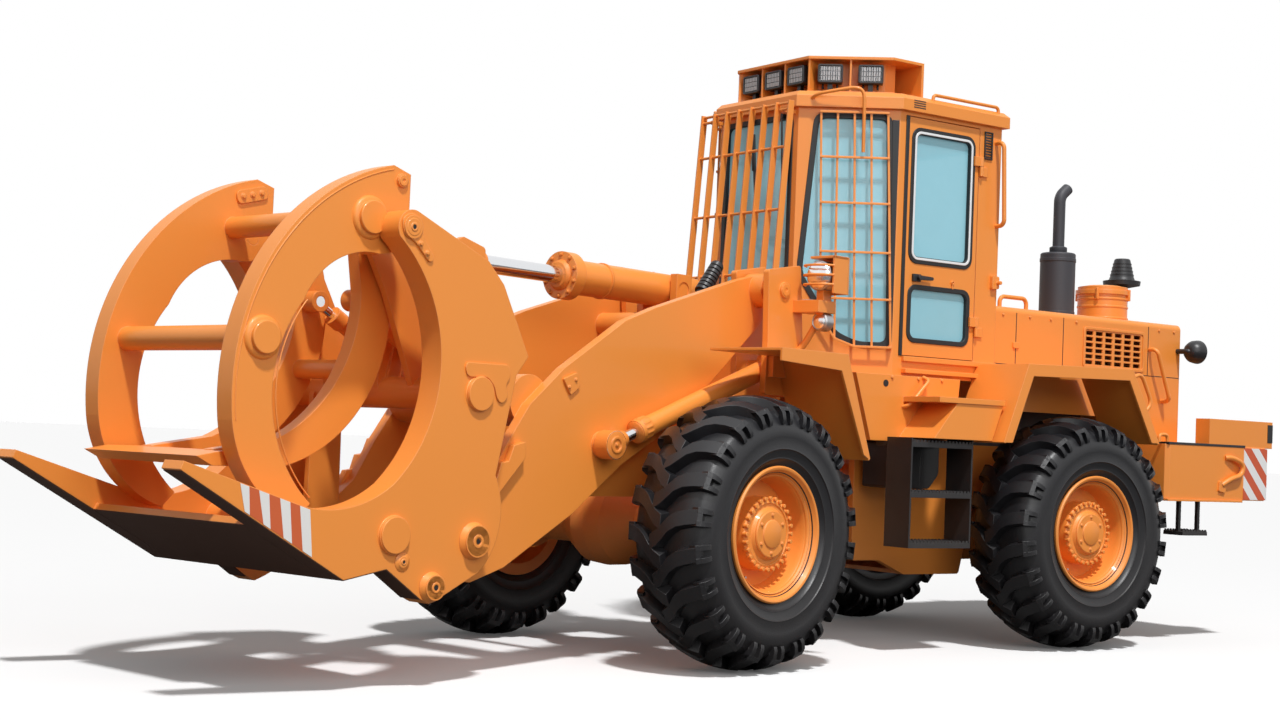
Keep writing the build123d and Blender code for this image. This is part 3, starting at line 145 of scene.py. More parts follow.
class Effects:
    """Shader node groups that several finishes share, each built once."""

    made: dict[str, bpy.types.NodeTree] = {}
    patch_scale: float = 1.7
    patch_dark: Colour = (0.72, 0.66, 0.62)
    cloud_scale: float = 9.0
    edge_gain: float = 4.0

    @classmethod
    def group(
        cls, name: str, inputs: dict[str, str], outputs: dict[str, str]
    ) -> tuple[Nodes, bpy.types.Node, bpy.types.Node]:
        """Start a group with named sockets.

        Args:
            name: the group's name.
            inputs: socket kind by input name.
            outputs: socket kind by output name.

        Returns:
            The tree's builder, its input node and its output node.
        """
        tree = bpy.data.node_groups.new(name, "ShaderNodeTree")
        for in_out, sockets in (("INPUT", inputs), ("OUTPUT", outputs)):
            for label, kind in sockets.items():
                tree.interface.new_socket(name=label, in_out=in_out, socket_type="NodeSocket" + kind)
        cls.made[name] = tree
        return Nodes(tree), tree.nodes.new("NodeGroupInput"), tree.nodes.new("NodeGroupOutput")

    @classmethod
    def mottle(cls) -> bpy.types.NodeTree:
        """Make the group that varies a colour a little and gives a fine grain.

        Returns:
            The group.
        """
        if "mottle" in cls.made:
            return cls.made["mottle"]
        sockets = {"Color": "Color", "Amount": "Float", "Grain Scale": "Float"}
        results = {"Color": "Color", "Height": "Float", "Patch": "Float"}
        build, given, result = cls.group("mottle", sockets, results)
        color = given.outputs["Color"]
        place = build.add("TexCoord").outputs["Object"]
        patch = build.noise(place, cls.patch_scale, 4.0, 0.6)
        grain = build.noise(place, given.outputs["Grain Scale"], 3.0)
        dark = build.mix(1.0, color, (*cls.patch_dark, 1.0), "MULTIPLY")
        share = build.math("MULTIPLY", patch, given.outputs["Amount"])
        build.set(result.inputs["Color"], build.mix(share, color, dark))
        build.set(result.inputs["Height"], grain)
        build.set(result.inputs["Patch"], patch)
        return build.tree

    @classmethod
    def ground_dust(cls) -> bpy.types.NodeTree:
        """Make the group that lays a film of dust on what is low.

        Returns:
            The group.
        """
        if "ground_dust" in cls.made:
            return cls.made["ground_dust"]
        sockets = {"Color": "Color", "Dust": "Color", "Amount": "Float", "Top": "Float"}
        build, given, result = cls.group("ground_dust", sockets, {"Color": "Color", "Mask": "Float"})
        place = build.add("TexCoord").outputs["Object"]
        height = build.add("SeparateXYZ", {0: place}).outputs[2]
        low = build.math("SUBTRACT", 1.0, build.math("DIVIDE", height, given.outputs["Top"]))
        cloud = build.noise(place, cls.cloud_scale, 5.0, 0.65)
        mask = build.math("MULTIPLY", build.math("MULTIPLY", low, cloud), given.outputs["Amount"])
        film = build.mix(mask, given.outputs["Color"], given.outputs["Dust"])
        build.set(result.inputs["Color"], film)
        build.set(result.inputs["Mask"], mask)
        return build.tree

    @classmethod
    def soft_edge(cls) -> bpy.types.NodeTree:
        """Make the group that rounds a hard edge and marks where it is.

        Returns:
            The group.
        """
        if "soft_edge" in cls.made:
            return cls.made["soft_edge"]
        results = {"Normal": "Vector", "Mask": "Float"}
        build, given, result = cls.group("soft_edge", {"Radius": "Float"}, results)
        rounded = build.add("Bevel", {"Radius": given.outputs["Radius"]}, samples=4).outputs[0]
        flat = build.add("NewGeometry").outputs["Normal"]
        same = build.add("VectorMath", {0: rounded, 1: flat}, operation="DOT_PRODUCT").outputs["Value"]
        mask = build.math("MULTIPLY", build.math("SUBTRACT", 1.0, same), cls.edge_gain)
        build.set(result.inputs["Normal"], rounded)
        build.set(result.inputs["Mask"], mask)
        return build.tree


@dataclass(frozen=True)
class Finish:
    """One finish, with its colour, gloss, grain, edges and dust."""

    name: str
    color: Colour
    slot: str
    roughness: float = 0.45
    metallic: float = 0.0
    coat: float = 0.0
    coat_roughness: float = 0.12
    mottle: float = 0.15
    grain_scale: float = 220.0
    grain: float = 0.00025
    edge: float = 0.0
    edge_tint: float = 0.0
    edge_light: Colour = (0.25, 0.25, 0.25)
    dust: float = 0.0
    dust_color: Colour = (0.30, 0.24, 0.19)
    dust_top: float = 1.6
    smoother: float = 0.06
    rougher: float = 0.08

    def material(self) -> bpy.types.Material:
        """Return the finish's material, built at its first use."""
        known = bpy.data.materials.get(self.name)
        return known if known else self.build()

    def start(self) -> tuple[bpy.types.Material, Nodes, bpy.types.Node]:
        """Start a material.

        Returns:
            The new material, its builder and its Principled shader.
        """
        material = bpy.data.materials.new(self.name)
        material.use_nodes = True
        shader = material.node_tree.nodes["Principled BSDF"]
        shader.inputs["Metallic"].default_value = self.metallic
        shader.inputs["Coat Weight"].default_value = self.coat
        shader.inputs["Coat Roughness"].default_value = self.coat_roughness
        return material, Nodes(material.node_tree), shader

    def tone(self, build: Nodes) -> bpy.types.Node:
        """Place the mottle group with this finish's values.

        Args:
            build: the material's builder.

        Returns:
            The group's node.
        """
        inputs = {"Color": (*self.color, 1.0), "Amount": self.mottle, "Grain Scale": self.grain_scale}
        tone = build.add("Group", node_tree=Effects.mottle())
        for label, value in inputs.items():
            build.set(tone.inputs[label], value)
        return tone

    def relief(self, build: Nodes, grain: Socket) -> Socket:
        """Return the height that the bump uses."""
        return grain

    def build(self) -> bpy.types.Material:
        """Build the material from the shared effects.

        Returns:
            The new material.
        """
        material, build, shader = self.start()
        tone = self.tone(build)
        color = tone.outputs["Color"]
        height = self.relief(build, tone.outputs["Height"])
        bump = build.add("Bump", {"Height": height, "Distance": self.grain})
        if self.edge:
            soft = build.add("Group", node_tree=Effects.soft_edge())
            build.set(soft.inputs["Radius"], self.edge)
            build.set(bump.inputs["Normal"], soft.outputs["Normal"])
            light = build.mix(1.0, (*self.color, 1.0), (*self.edge_light, 1.0), "ADD")
            share = build.math("MULTIPLY", soft.outputs["Mask"], self.edge_tint)
            color = build.mix(share, color, light)
        spread = build.add("MapRange", {"Value": tone.outputs["Patch"]})
        spread.inputs["To Min"].default_value = self.roughness - self.smoother
        spread.inputs["To Max"].default_value = self.roughness + self.rougher
        gloss = spread.outputs[0]
        if self.dust:
            film = build.add("Group", node_tree=Effects.ground_dust())
            dust = (*self.dust_color, 1.0)
            inputs = {"Color": color, "Dust": dust, "Amount": self.dust, "Top": self.dust_top}
            for label, value in inputs.items():
                build.set(film.inputs[label], value)
            color = film.outputs["Color"]
            gloss = build.math("ADD", gloss, film.outputs["Mask"])
        build.set(shader.inputs["Base Color"], color)
        build.set(shader.inputs["Roughness"], gloss)
        build.set(shader.inputs["Normal"], bump.outputs[0])
        return material


@dataclass(frozen=True)
class Glazing(Finish):
    """Tinted window glass with a pale film, and an emission in its tint that is painted light on the pane.
    """

    cover: float = 0.5
    cover_spread: float = 0.08
    # Strength of an emission in the tint colour: painted light, since a pane gives no light of its own.
    glow: float = 0.0
    ior: float = 1.5

    def build(self) -> bpy.types.Material:
        """Build a clear pane whose tint is strongest in soft patches.

        Returns:
            The new material.
        """
        material, build, shader = self.start()
        tone = build.add("Group", node_tree=Effects.mottle())
        tone.inputs["Color"].default_value = (*self.color, 1.0)
        tone.inputs["Amount"].default_value = self.mottle
        spread = build.add("MapRange", {"Value": tone.outputs["Patch"]})
        spread.inputs["To Min"].default_value = self.cover - self.cover_spread
        spread.inputs["To Max"].default_value = self.cover + self.cover_spread
        shader.inputs["Roughness"].default_value = self.roughness
        shader.inputs["IOR"].default_value = self.ior
        # The pane glows in its tint: painted light.
        shader.inputs["Emission Strength"].default_value = self.glow
        build.set(shader.inputs["Base Color"], tone.outputs["Color"])
        build.set(shader.inputs["Emission Color"], tone.outputs["Color"])
        build.set(shader.inputs["Alpha"], spread.outputs[0])
        return material


@dataclass(frozen=True)
class Chequered(Finish):
    """Rolled tread plate with crossed lozenges."""

    pitch: float = 0.03
    lozenge: float = 0.32
    grain_share: float = 0.2

    def relief(self, build: Nodes, grain: Socket) -> Socket:
        """Lay the grain on the lozenges.

        Args:
            build: the material's builder.
            grain: the height of the grain.

        Returns:
            The height of both.
        """
        place = build.add("TexCoord").outputs["Object"]
        turn = (0.0, 0.0, math.radians(45))
        turned = build.add("Mapping", {"Vector": place, "Rotation": turn}).outputs[0]
        inputs = {"Vector": turned, "Scale": 1.0 / self.pitch}
        bars = build.add("TexVoronoi", inputs, feature="F1", distance="CHEBYCHEV")
        raised = build.math("LESS_THAN", bars.outputs["Distance"], self.lozenge)
        return build.math("ADD", build.math("MULTIPLY", grain, self.grain_share), raised)


@dataclass(frozen=True)
class Striped(Finish):
    """Paint in slanting bands of two colours."""

    second: Colour = (0.8, 0.8, 0.8)
    band: float = 0.1
    slant: Solid = (0.0, 0.7, 0.7)

    def build(self) -> bpy.types.Material:
        """Build the plain finish and lay the bands over its colour.

        Returns:
            The new material.
        """
        material = super().build()
        build = Nodes(material.node_tree)
        color = material.node_tree.nodes["Principled BSDF"].inputs["Base Color"]
        place = build.add("TexCoord").outputs["Object"]
        run = build.add("VectorMath", {0: place, 1: self.slant}, operation="DOT_PRODUCT").outputs["Value"]
        turn = build.add("Math", {0: run, 1: 2 * self.band}, operation="FLOORED_MODULO").outputs[0]
        mask = build.math("GREATER_THAN", turn, self.band)
        build.set(color, build.mix(mask, color.links[0].from_socket, (*self.second, 1.0)))
        return material


PAINT = Finish(
    "loader_orange", (0.88, 0.292, 0.045), "body_orange", 0.44, coat=0.12, edge=0.006, edge_tint=0.3,
    mottle=0.08, dust=0.06, dust_top=1.2,
)
CAST_PAINT = Finish(
    "cast_orange", (0.84, 0.265, 0.042), "body_orange", 0.5, edge=0.008, grain=0.001, grain_scale=90,
    dust=0.25, dust_top=1.2,
)
BLACK = Finish("black_enamel", (0.012, 0.012, 0.014), "black_paint", 0.38, edge=0.003, dust=0.15)
TREAD_PLATE = Chequered(
    "black_tread_plate", (0.014, 0.014, 0.016), "black_paint", 0.42, grain=0.002, mottle=0.3,
)
RUBBER = Finish(
    "tyre_black", (0.0075, 0.008, 0.0105), "tyre_rubber", 0.37, grain=0.0006, grain_scale=160, mottle=0.5,
    dust=0.05,
)
SEAL = Finish("seal_rubber", (0.008, 0.008, 0.009), "dark_plastic", 0.5)
PLASTIC = Finish("dark_moulding", (0.016, 0.016, 0.018), "dark_plastic", 0.42)
CHROME = Finish(
    "piston_chrome", (0.78, 0.79, 0.81), "rod_chrome", 0.12, metallic=1.0, grain=0.00004, mottle=0.05,
)
STEEL = Finish("bare_steel", (0.45, 0.45, 0.46), "rod_chrome", 0.35, metallic=1.0, grain=0.0002)
BRIGHT = Finish("bright_trim", (0.82, 0.84, 0.85), "rod_chrome", 0.2, mottle=0.05)
EXHAUST = Finish("exhaust_grey", (0.042, 0.043, 0.052), "exhaust_steel", 0.55, edge=0.004, mottle=0.4)
IRON = Finish("engine_iron", (0.06, 0.06, 0.06), "engine_iron", 0.6, grain=0.001, grain_scale=60)
FABRIC = Finish("seat_cloth", (0.02, 0.021, 0.025), "seat_fabric", 0.9, grain=0.0015, grain_scale=600)
# Window glass with a glow in its tint: painted light standing in for the sky seen in the panes.
GLASS = Glazing(
    "window_tint", (0.325, 0.655, 0.76), "window_glass", 0.03, mottle=0.1, cover=0.6, glow=0.16,
)
LENS = Glazing("lamp_lens", (0.85, 0.88, 0.9), "lamp_plastic", 0.06, cover=0.4)
REFLECTOR = Finish(
    "lamp_mirror", (0.85, 0.86, 0.88), "lamp_plastic", 0.18, metallic=1.0, grain=0.001, grain_scale=40,
)
# Dark brown for the sheets under the tines and the jaw floor: painted shade of their undersides.
SHADE = Finish("painted_shade_underside", (0.075, 0.028, 0.012), "body_orange", 0.8, mottle=0.6)
STRIPE_RED = Finish("stripe_red", (0.62, 0.12, 0.035), "body_orange", 0.45)
LAMP_BOWL = Finish(
    "lamp_bowl", (0.42, 0.42, 0.44), "lamp_plastic", 0.22, metallic=0.9, grain=0.004, grain_scale=55,
)
DARK_LENS = Glazing("dark_lens", (0.06, 0.065, 0.07), "lamp_plastic", 0.05, cover=0.45)
LENS_RIB = Finish("lens_rib", (0.46, 0.48, 0.50), "lamp_plastic", 0.2, mottle=0.5)
# Near-black for small discs that stand for holes: painted shade in place of their depth.
PAINTED_HOLE_SHADE = Finish("painted_hole_shade", (0.012, 0.008, 0.006), "black_paint", 0.7)
WHITE = Finish("stripe_white", (0.80, 0.79, 0.77), "body_orange", 0.42, edge=0.001)
HAZARD = Striped(
    "hazard_bands", (0.62, 0.10, 0.035), "body_orange", 0.42, second=(0.82, 0.81, 0.80), band=0.062,
    slant=(0.72, 0.0, -0.70),
)

NODE_FINISHES: dict[str, Finish] = {
    "cab_glass": GLASS,
    "door_glass": GLASS,
    "ladders": BLACK,
    "muffler": EXHAUST,
    "precleaner": PLASTIC,
    "engine": IRON,
    "steering_column": PLASTIC,
    "roof_lamps": PLASTIC,
    "rear_lamps": BLACK,
    "front_axle": CAST_PAINT,
    "rear_axle": CAST_PAINT,
    "lift_rods": CHROME,
    "tilt_rod": CHROME,
    "pusher_rods": CHROME,
    "steer_rod_left": CHROME,
    "steer_rod_right": CHROME,
}


@dataclass(frozen=True)
class Half:
    """One half of the machine, by its articulation pin and its turn about it."""

    pin: Solid
    turn: float

    def matrix(self) -> Matrix:
        """Return the way from the half's own frame to the machine's."""
        return Matrix.Translation(self.pin) @ Matrix.Rotation(self.turn, 4, "Z")

    @staticmethod
    def pair() -> tuple["Half", "Half"]:
        """Read both halves from the joints.

        Returns:
            The rear and the front half.
        """
        joints = {joint["name"]: joint for joint in frame["joints"]}
        pin = (joints["steer"]["pos_m"][0], joints["steer"]["pos_m"][1], 0.0)
        across = joints["boom_lift"]["axis"]
        return Half(pin, 0.0), Half(pin, math.atan2(across[0], -across[1]))


REAR, FRONT = Half.pair()


def turns(count: int) -> list[float]:
    """Return equally spaced angles round a circle."""
    return [TURN * k / count for k in range(count)]


def square_to(axis: Vector) -> tuple[Vector, Vector]:
    """Find two directions square to an axis.

    Args:
        axis: the axis.

    Returns:
        Two unit vectors, also square to each other.
    """
    axis = axis.normalized()
    near = Vector((0, 0, 1)) if abs(axis.z) < 0.9 else Vector((1, 0, 0))
    first = (near - axis * near.dot(axis)).normalized()
    return first, axis.cross(first)


def ring(centre: Point, axis: Point, radius: float, sides: int) -> list[Vector]:
    """Return points on a circle about an axis."""
    first, second = square_to(Vector(axis))
    return [Vector(centre) + radius * (first * math.cos(a) + second * math.sin(a)) for a in turns(sides)]


def rectangle(width: float, height: float, low: float = 0.0) -> list[Flat]:
    """Return a rectangle about the middle of its width, from a lower edge up."""
    half = width / 2
    return [(-half, low), (half, low), (half, low + height), (-half, low + height)]


def rounded_rectangle(width: float, height: float, radius: float, steps: int = 6) -> list[Flat]:
    """Draw a rectangle with rounded corners about its middle.

    Args:
        width: the width.
        height: the height.
        radius: the corners' radius.
        steps: how many edges each corner has.

    Returns:
        The outline, counter-clockwise.
    """
    corners = ((1, 1, 0.0), (-1, 1, 90.0), (-1, -1, 180.0), (1, -1, 270.0))
    outline = []
    for sx, sy, start in corners:
        cx, cy = sx * (width / 2 - radius), sy * (height / 2 - radius)
        for k in range(steps + 1):
            angle = math.radians(start + 90.0 * k / steps)
            outline.append((cx + radius * math.cos(angle), cy + radius * math.sin(angle)))
    return outline


def grown(outline: Outline, amount: float) -> list[Flat]:
    """Move a closed outline outwards.

    Args:
        outline: the outline, counter-clockwise.
        amount: how far its edges move.

    Returns:
        The larger outline.
    """
    spots = [Vector(p) for p in outline]
    result = []
    for before, here, after in zip(spots[-1:] + spots[:-1], spots, spots[1:] + spots[:1]):
        first, second = (here - before).normalized(), (after - here).normalized()
        out = Vector((first.y + second.y, -first.x - second.x))
        moved = here + out * (amount / (1 + first.dot(second)))
        result.append((moved.x, moved.y))
    return result


def corner(before: Vector, here: Vector, after: Vector, reach: float, steps: int) -> list[Vector]:
    """Round off one corner of a path.

    Args:
        before: the point before the corner.
        here: the corner.
        after: the point after it.
        reach: how far from the corner the rounding starts, at most half an edge.
        steps: how many edges the rounding has.

    Returns:
        Points on the rounding, in order.
    """
    start = here + (before - here).normalized() * min(reach, (before - here).length / 2)
    end = here + (after - here).normalized() * min(reach, (after - here).length / 2)
    shares = [k / steps for k in range(steps + 1)]
    return [start * (1 - t) ** 2 + here * 2 * t * (1 - t) + end * t * t for t in shares]


def softened(outline: Outline, radius: float, steps: int = 5) -> list[Flat]:
    """Round off the corners of a closed outline.

    Args:
        outline: the outline.
        radius: how far from each corner the rounding starts.
        steps: how many edges each corner has.

    Returns:
        The rounded outline.
    """
    spots = [Vector(p) for p in outline]
    result = []
    for before, here, after in zip(spots[-1:] + spots[:-1], spots, spots[1:] + spots[:1]):
        result.extend((spot.x, spot.y) for spot in corner(before, here, after, radius, steps))
    return result


def bent(points: Sequence[Point], bend: float, steps: int = 6) -> list[Vector]:
    """Round off the corners of an open path.

    Args:
        points: the path.
        bend: how far from each corner the rounding starts.
        steps: how many edges each corner has.

    Returns:
        The rounded path.
    """
    spots = [Vector(p) for p in points]
    path = [spots[0]]
    for before, here, after in zip(spots, spots[1:], spots[2:]):
        path.extend(corner(before, here, after, bend, steps))
    path.append(spots[-1])
    return path


def arc(start: Point, through: Point, end: Point, count: int) -> list[Vector]:
    """Find points on the circle through three points of a plane.

    Args:
        start: the first point.
        through: a point between.
        end: the last point.
        count: how many points to return.

    Returns:
        Points from start to end.
    """
    a, b, c = Vector(start), Vector(through), Vector(end)
    turn = 2 * ((b.x - a.x) * (c.y - a.y) - (b.y - a.y) * (c.x - a.x))
    bb, cc = b.length_squared - a.length_squared, c.length_squared - a.length_squared
    middle = (bb * (c.y - a.y) - cc * (b.y - a.y), cc * (b.x - a.x) - bb * (c.x - a.x))
    centre = Vector(middle) / turn
    first = math.atan2(a.y - centre.y, a.x - centre.x)
    sweep = (math.atan2(c.y - centre.y, c.x - centre.x) - first) % TURN
    if turn < 0:
        sweep -= TURN
    radius = (a - centre).length
    angles = [first + sweep * k / (count - 1) for k in range(count)]
    return [centre + radius * Vector((math.cos(t), math.sin(t))) for t in angles]


@dataclass(frozen=True)
class Sheet:
    """A flat place in a half's frame, by a corner and two directions."""

    origin: Solid
    across: Solid
    up: Solid

    def point(self, u: float, v: float, out: float = 0.0) -> Vector:
        """Return the place u across, v up and some way out."""
        across, up = Vector(self.across), Vector(self.up)
        return Vector(self.origin) + across * u + up * v + across.cross(up) * out


class Shape:
    """A mesh in the making, in one half's own frame, in metres."""

    def __init__(self) -> None:
        """Start with nothing."""
        self.points: list[Vector] = []
        self.faces: list[tuple[int, ...]] = []

    def loft(self, rings: Sequence[Sequence[Vector]], closed: bool = False) -> "Shape":
        """Join rings of equally many points with faces.

        Args:
            rings: the rings in order.
            closed: whether the last ring joins the first, or both ends are capped.

        Returns:
            This shape.
        """
        start, count = len(self.points), len(rings[0])
        for each in rings:
            self.points.extend(each)
        for i in range(len(rings) if closed else len(rings) - 1):
            a, b = start + i * count, start + (i + 1) % len(rings) * count
            for k in range(count):
                m = (k + 1) % count
                self.faces.append((a + k, a + m, b + m, b + k))
        if not closed:
            last = start + (len(rings) - 1) * count
            self.faces.append(tuple(start + k for k in reversed(range(count))))
            self.faces.append(tuple(last + k for k in range(count)))
        return self

    def rod(
        self, start: Point, end: Point, radius: float, tip: float | None = None, sides: int = 20
    ) -> "Shape":
        """Add a round bar or a cone.

        Args:
            start: the middle of its first end.
            end: the middle of its last end.
            radius: the radius.
            tip: the radius at the last end, where it differs.
            sides: how many sides it has.

        Returns:
            This shape.
        """
        axis = Vector(end) - Vector(start)
        far = radius if tip is None else tip
        return self.loft([ring(start, axis, radius, sides), ring(end, axis, far, sides)])

    def lathe(
        self, profile: Outline, origin: Point, axis: Point, sides: int = 48, closed: bool = False
    ) -> "Shape":
        """Turn a profile about an axis.

        Args:
            profile: distance along the axis and radius of each ring.
            origin: where the distances start.
            axis: the axis.
            sides: how many sides the rings have.
            closed: whether the profile is closed, or both ends are capped.

        Returns:
            This shape.
        """
        way = Vector(axis).normalized()
        rings = []
        for along, radius in profile:
            rings.append(ring(Vector(origin) + way * along, way, max(radius, LEAST_R), sides))
        return self.loft(rings, closed)

    def pipe(self, points: Sequence[Point], radius: float, bend: float = 0.0, sides: int = 12) -> "Shape":
        """Add a round bar along a path.

        Args:
            points: the path.
            radius: the bar's radius.
            bend: how far from each corner its rounding starts.
            sides: how many sides the bar has.

        Returns:
            This shape.
        """
        path = bent(points, bend) if bend else [Vector(p) for p in points]
        rings = []
        first = None
        for k, spot in enumerate(path):
            way = (path[min(k + 1, len(path) - 1)] - path[max(k - 1, 0)]).normalized()
            first = square_to(way)[0] if first is None else (first - way * first.dot(way)).normalized()
            second = way.cross(first)
            loop = [spot + radius * (first * math.cos(a) + second * math.sin(a)) for a in turns(sides)]
            rings.append(loop)
        return self.loft(rings)

    def slab(self, outline: Outline, sheet: Sheet, low: float, high: float) -> "Shape":
        """Add a flat plate between two distances out of a sheet."""
        return self.loft([[sheet.point(u, v, out) for u, v in outline] for out in (low, high)])

    def box(self, x: Point, y: Point, z: Point) -> "Shape":
        """Add a block by its (low, high) spans."""
        sheet = Sheet((0, 0, 0), (1, 0, 0), (0, 1, 0))
        return self.slab([(x[0], y[0]), (x[1], y[0]), (x[1], y[1]), (x[0], y[1])], sheet, z[0], z[1])

    def plate(self, outline: Outline, y: Point) -> "Shape":
        """Add an upright plate by its side view in (x, z) and its span in y."""
        return self.loft([[Vector((x, across, z)) for x, z in outline] for across in y])

    def collar(
        self, spot: Point, axis: Point, radius: float, hole: float, half: float, sides: int = 40
    ) -> "Shape":
        """Add a ring round an axis, half its width to each side of a spot."""
        profile = ((-half, radius), (half, radius), (half, hole), (-half, hole))
        return self.lathe(profile, spot, axis, sides, closed=True)

    def pillow(self, centre: Point, size: Point, lean: float, rings: int = 13, sides: int = 48) -> "Shape":
        """Add a crowned pad whose sides pull in between its corners.

        Args:
            centre: the pad's middle.
            size: length along X, width along Y and thickness.
            lean: how far its top is tilted back about Y, in radians.
            rings: how many rings from one face to the other.
            sides: how many points on each ring.

        Returns:
            This shape.
        """
        crown, round_off, squareness, pull = 3.2, 0.32, 0.45, 0.05
        turn = Matrix.Rotation(-lean, 3, "Y")
        loops = []
        for i in range(rings):
            level = -1 + 2 * i / (rings - 1)
            spread = max(1 - abs(level) ** crown, 0.0) ** round_off
            loop = []
            for angle in turns(sides):
                c, s = math.cos(angle), math.sin(angle)
                pulled = spread * (1 - pull * math.cos(2 * angle) ** 2)
                x = math.copysign(abs(c) ** squareness, c) * size[0] / 2 * pulled
                y = math.copysign(abs(s) ** squareness, s) * size[1] / 2 * pulled
                loop.append(Vector(centre) + turn @ Vector((x, y, level * size[2] / 2)))
            loops.append(loop)
        return self.loft(loops)

    def rim(self, outer: Outline, inner: Outline, sheet: Sheet, low: float, high: float) -> "Shape":
        """Add a flat frame between two outlines of equally many points."""
        loops = ((outer, low), (outer, high), (inner, high), (inner, low))
        return self.loft([[sheet.point(u, v, out) for u, v in loop] for loop, out in loops], closed=True)

    def bolts(self, places: Iterable[Point], axis: Point, radius: float, height: float) -> "Shape":
        """Add hexagon heads on washers.

        Args:
            places: where the heads stand.
            axis: the way that they point.
            radius: the radius of a head.
            height: the height of a head with its washer.

        Returns:
            This shape.
        """
        washer, thickness, overlap = 1.45, 0.25, 0.2
        way = Vector(axis).normalized()
        for place in places:
            base = Vector(place)
            self.rod(base, base + way * height * thickness, radius * washer, sides=16)
            self.rod(base + way * height * overlap, base + way * height, radius, sides=6)
        return self

    def make(
        self, name: str, half: Half, body: str, finish: Finish, round_edge: float = 0.0
    ) -> bpy.types.Object:
        """Make the object, dress it and let it ride on its body.

        Args:
            name: the piece's name.
            half: the half whose frame the points are in.
            body: the body that carries the piece.
            finish: the piece's finish.
            round_edge: width of the rounding of its edges.

        Returns:
            The new object.
        """
        mesh = bpy.data.meshes.new(name)
        place = half.matrix()
        mesh.from_pydata([place @ p for p in self.points], [], self.faces)
        build = bmesh.new()
        build.from_mesh(mesh)
        bmesh.ops.recalc_face_normals(build, faces=build.faces)
        build.to_mesh(mesh)
        build.free()
        mesh.shade_smooth()
        mesh.set_sharp_from_angle(angle=SHARP)
        mesh.materials.append(finish.material())
        piece = bpy.data.objects.new(name, mesh)
        bpy.context.scene.collection.objects.link(piece)
        if round_edge:
            bevel = piece.modifiers.new("round", "BEVEL")
            bevel.width = round_edge
            bevel.segments = 2
            bevel.limit_method = "ANGLE"
            bevel.angle_limit = SHARP
        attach(piece, body)
        LOG.info("%s on %s in %s, %d faces", name, body, finish.name, len(self.faces))
        return piece


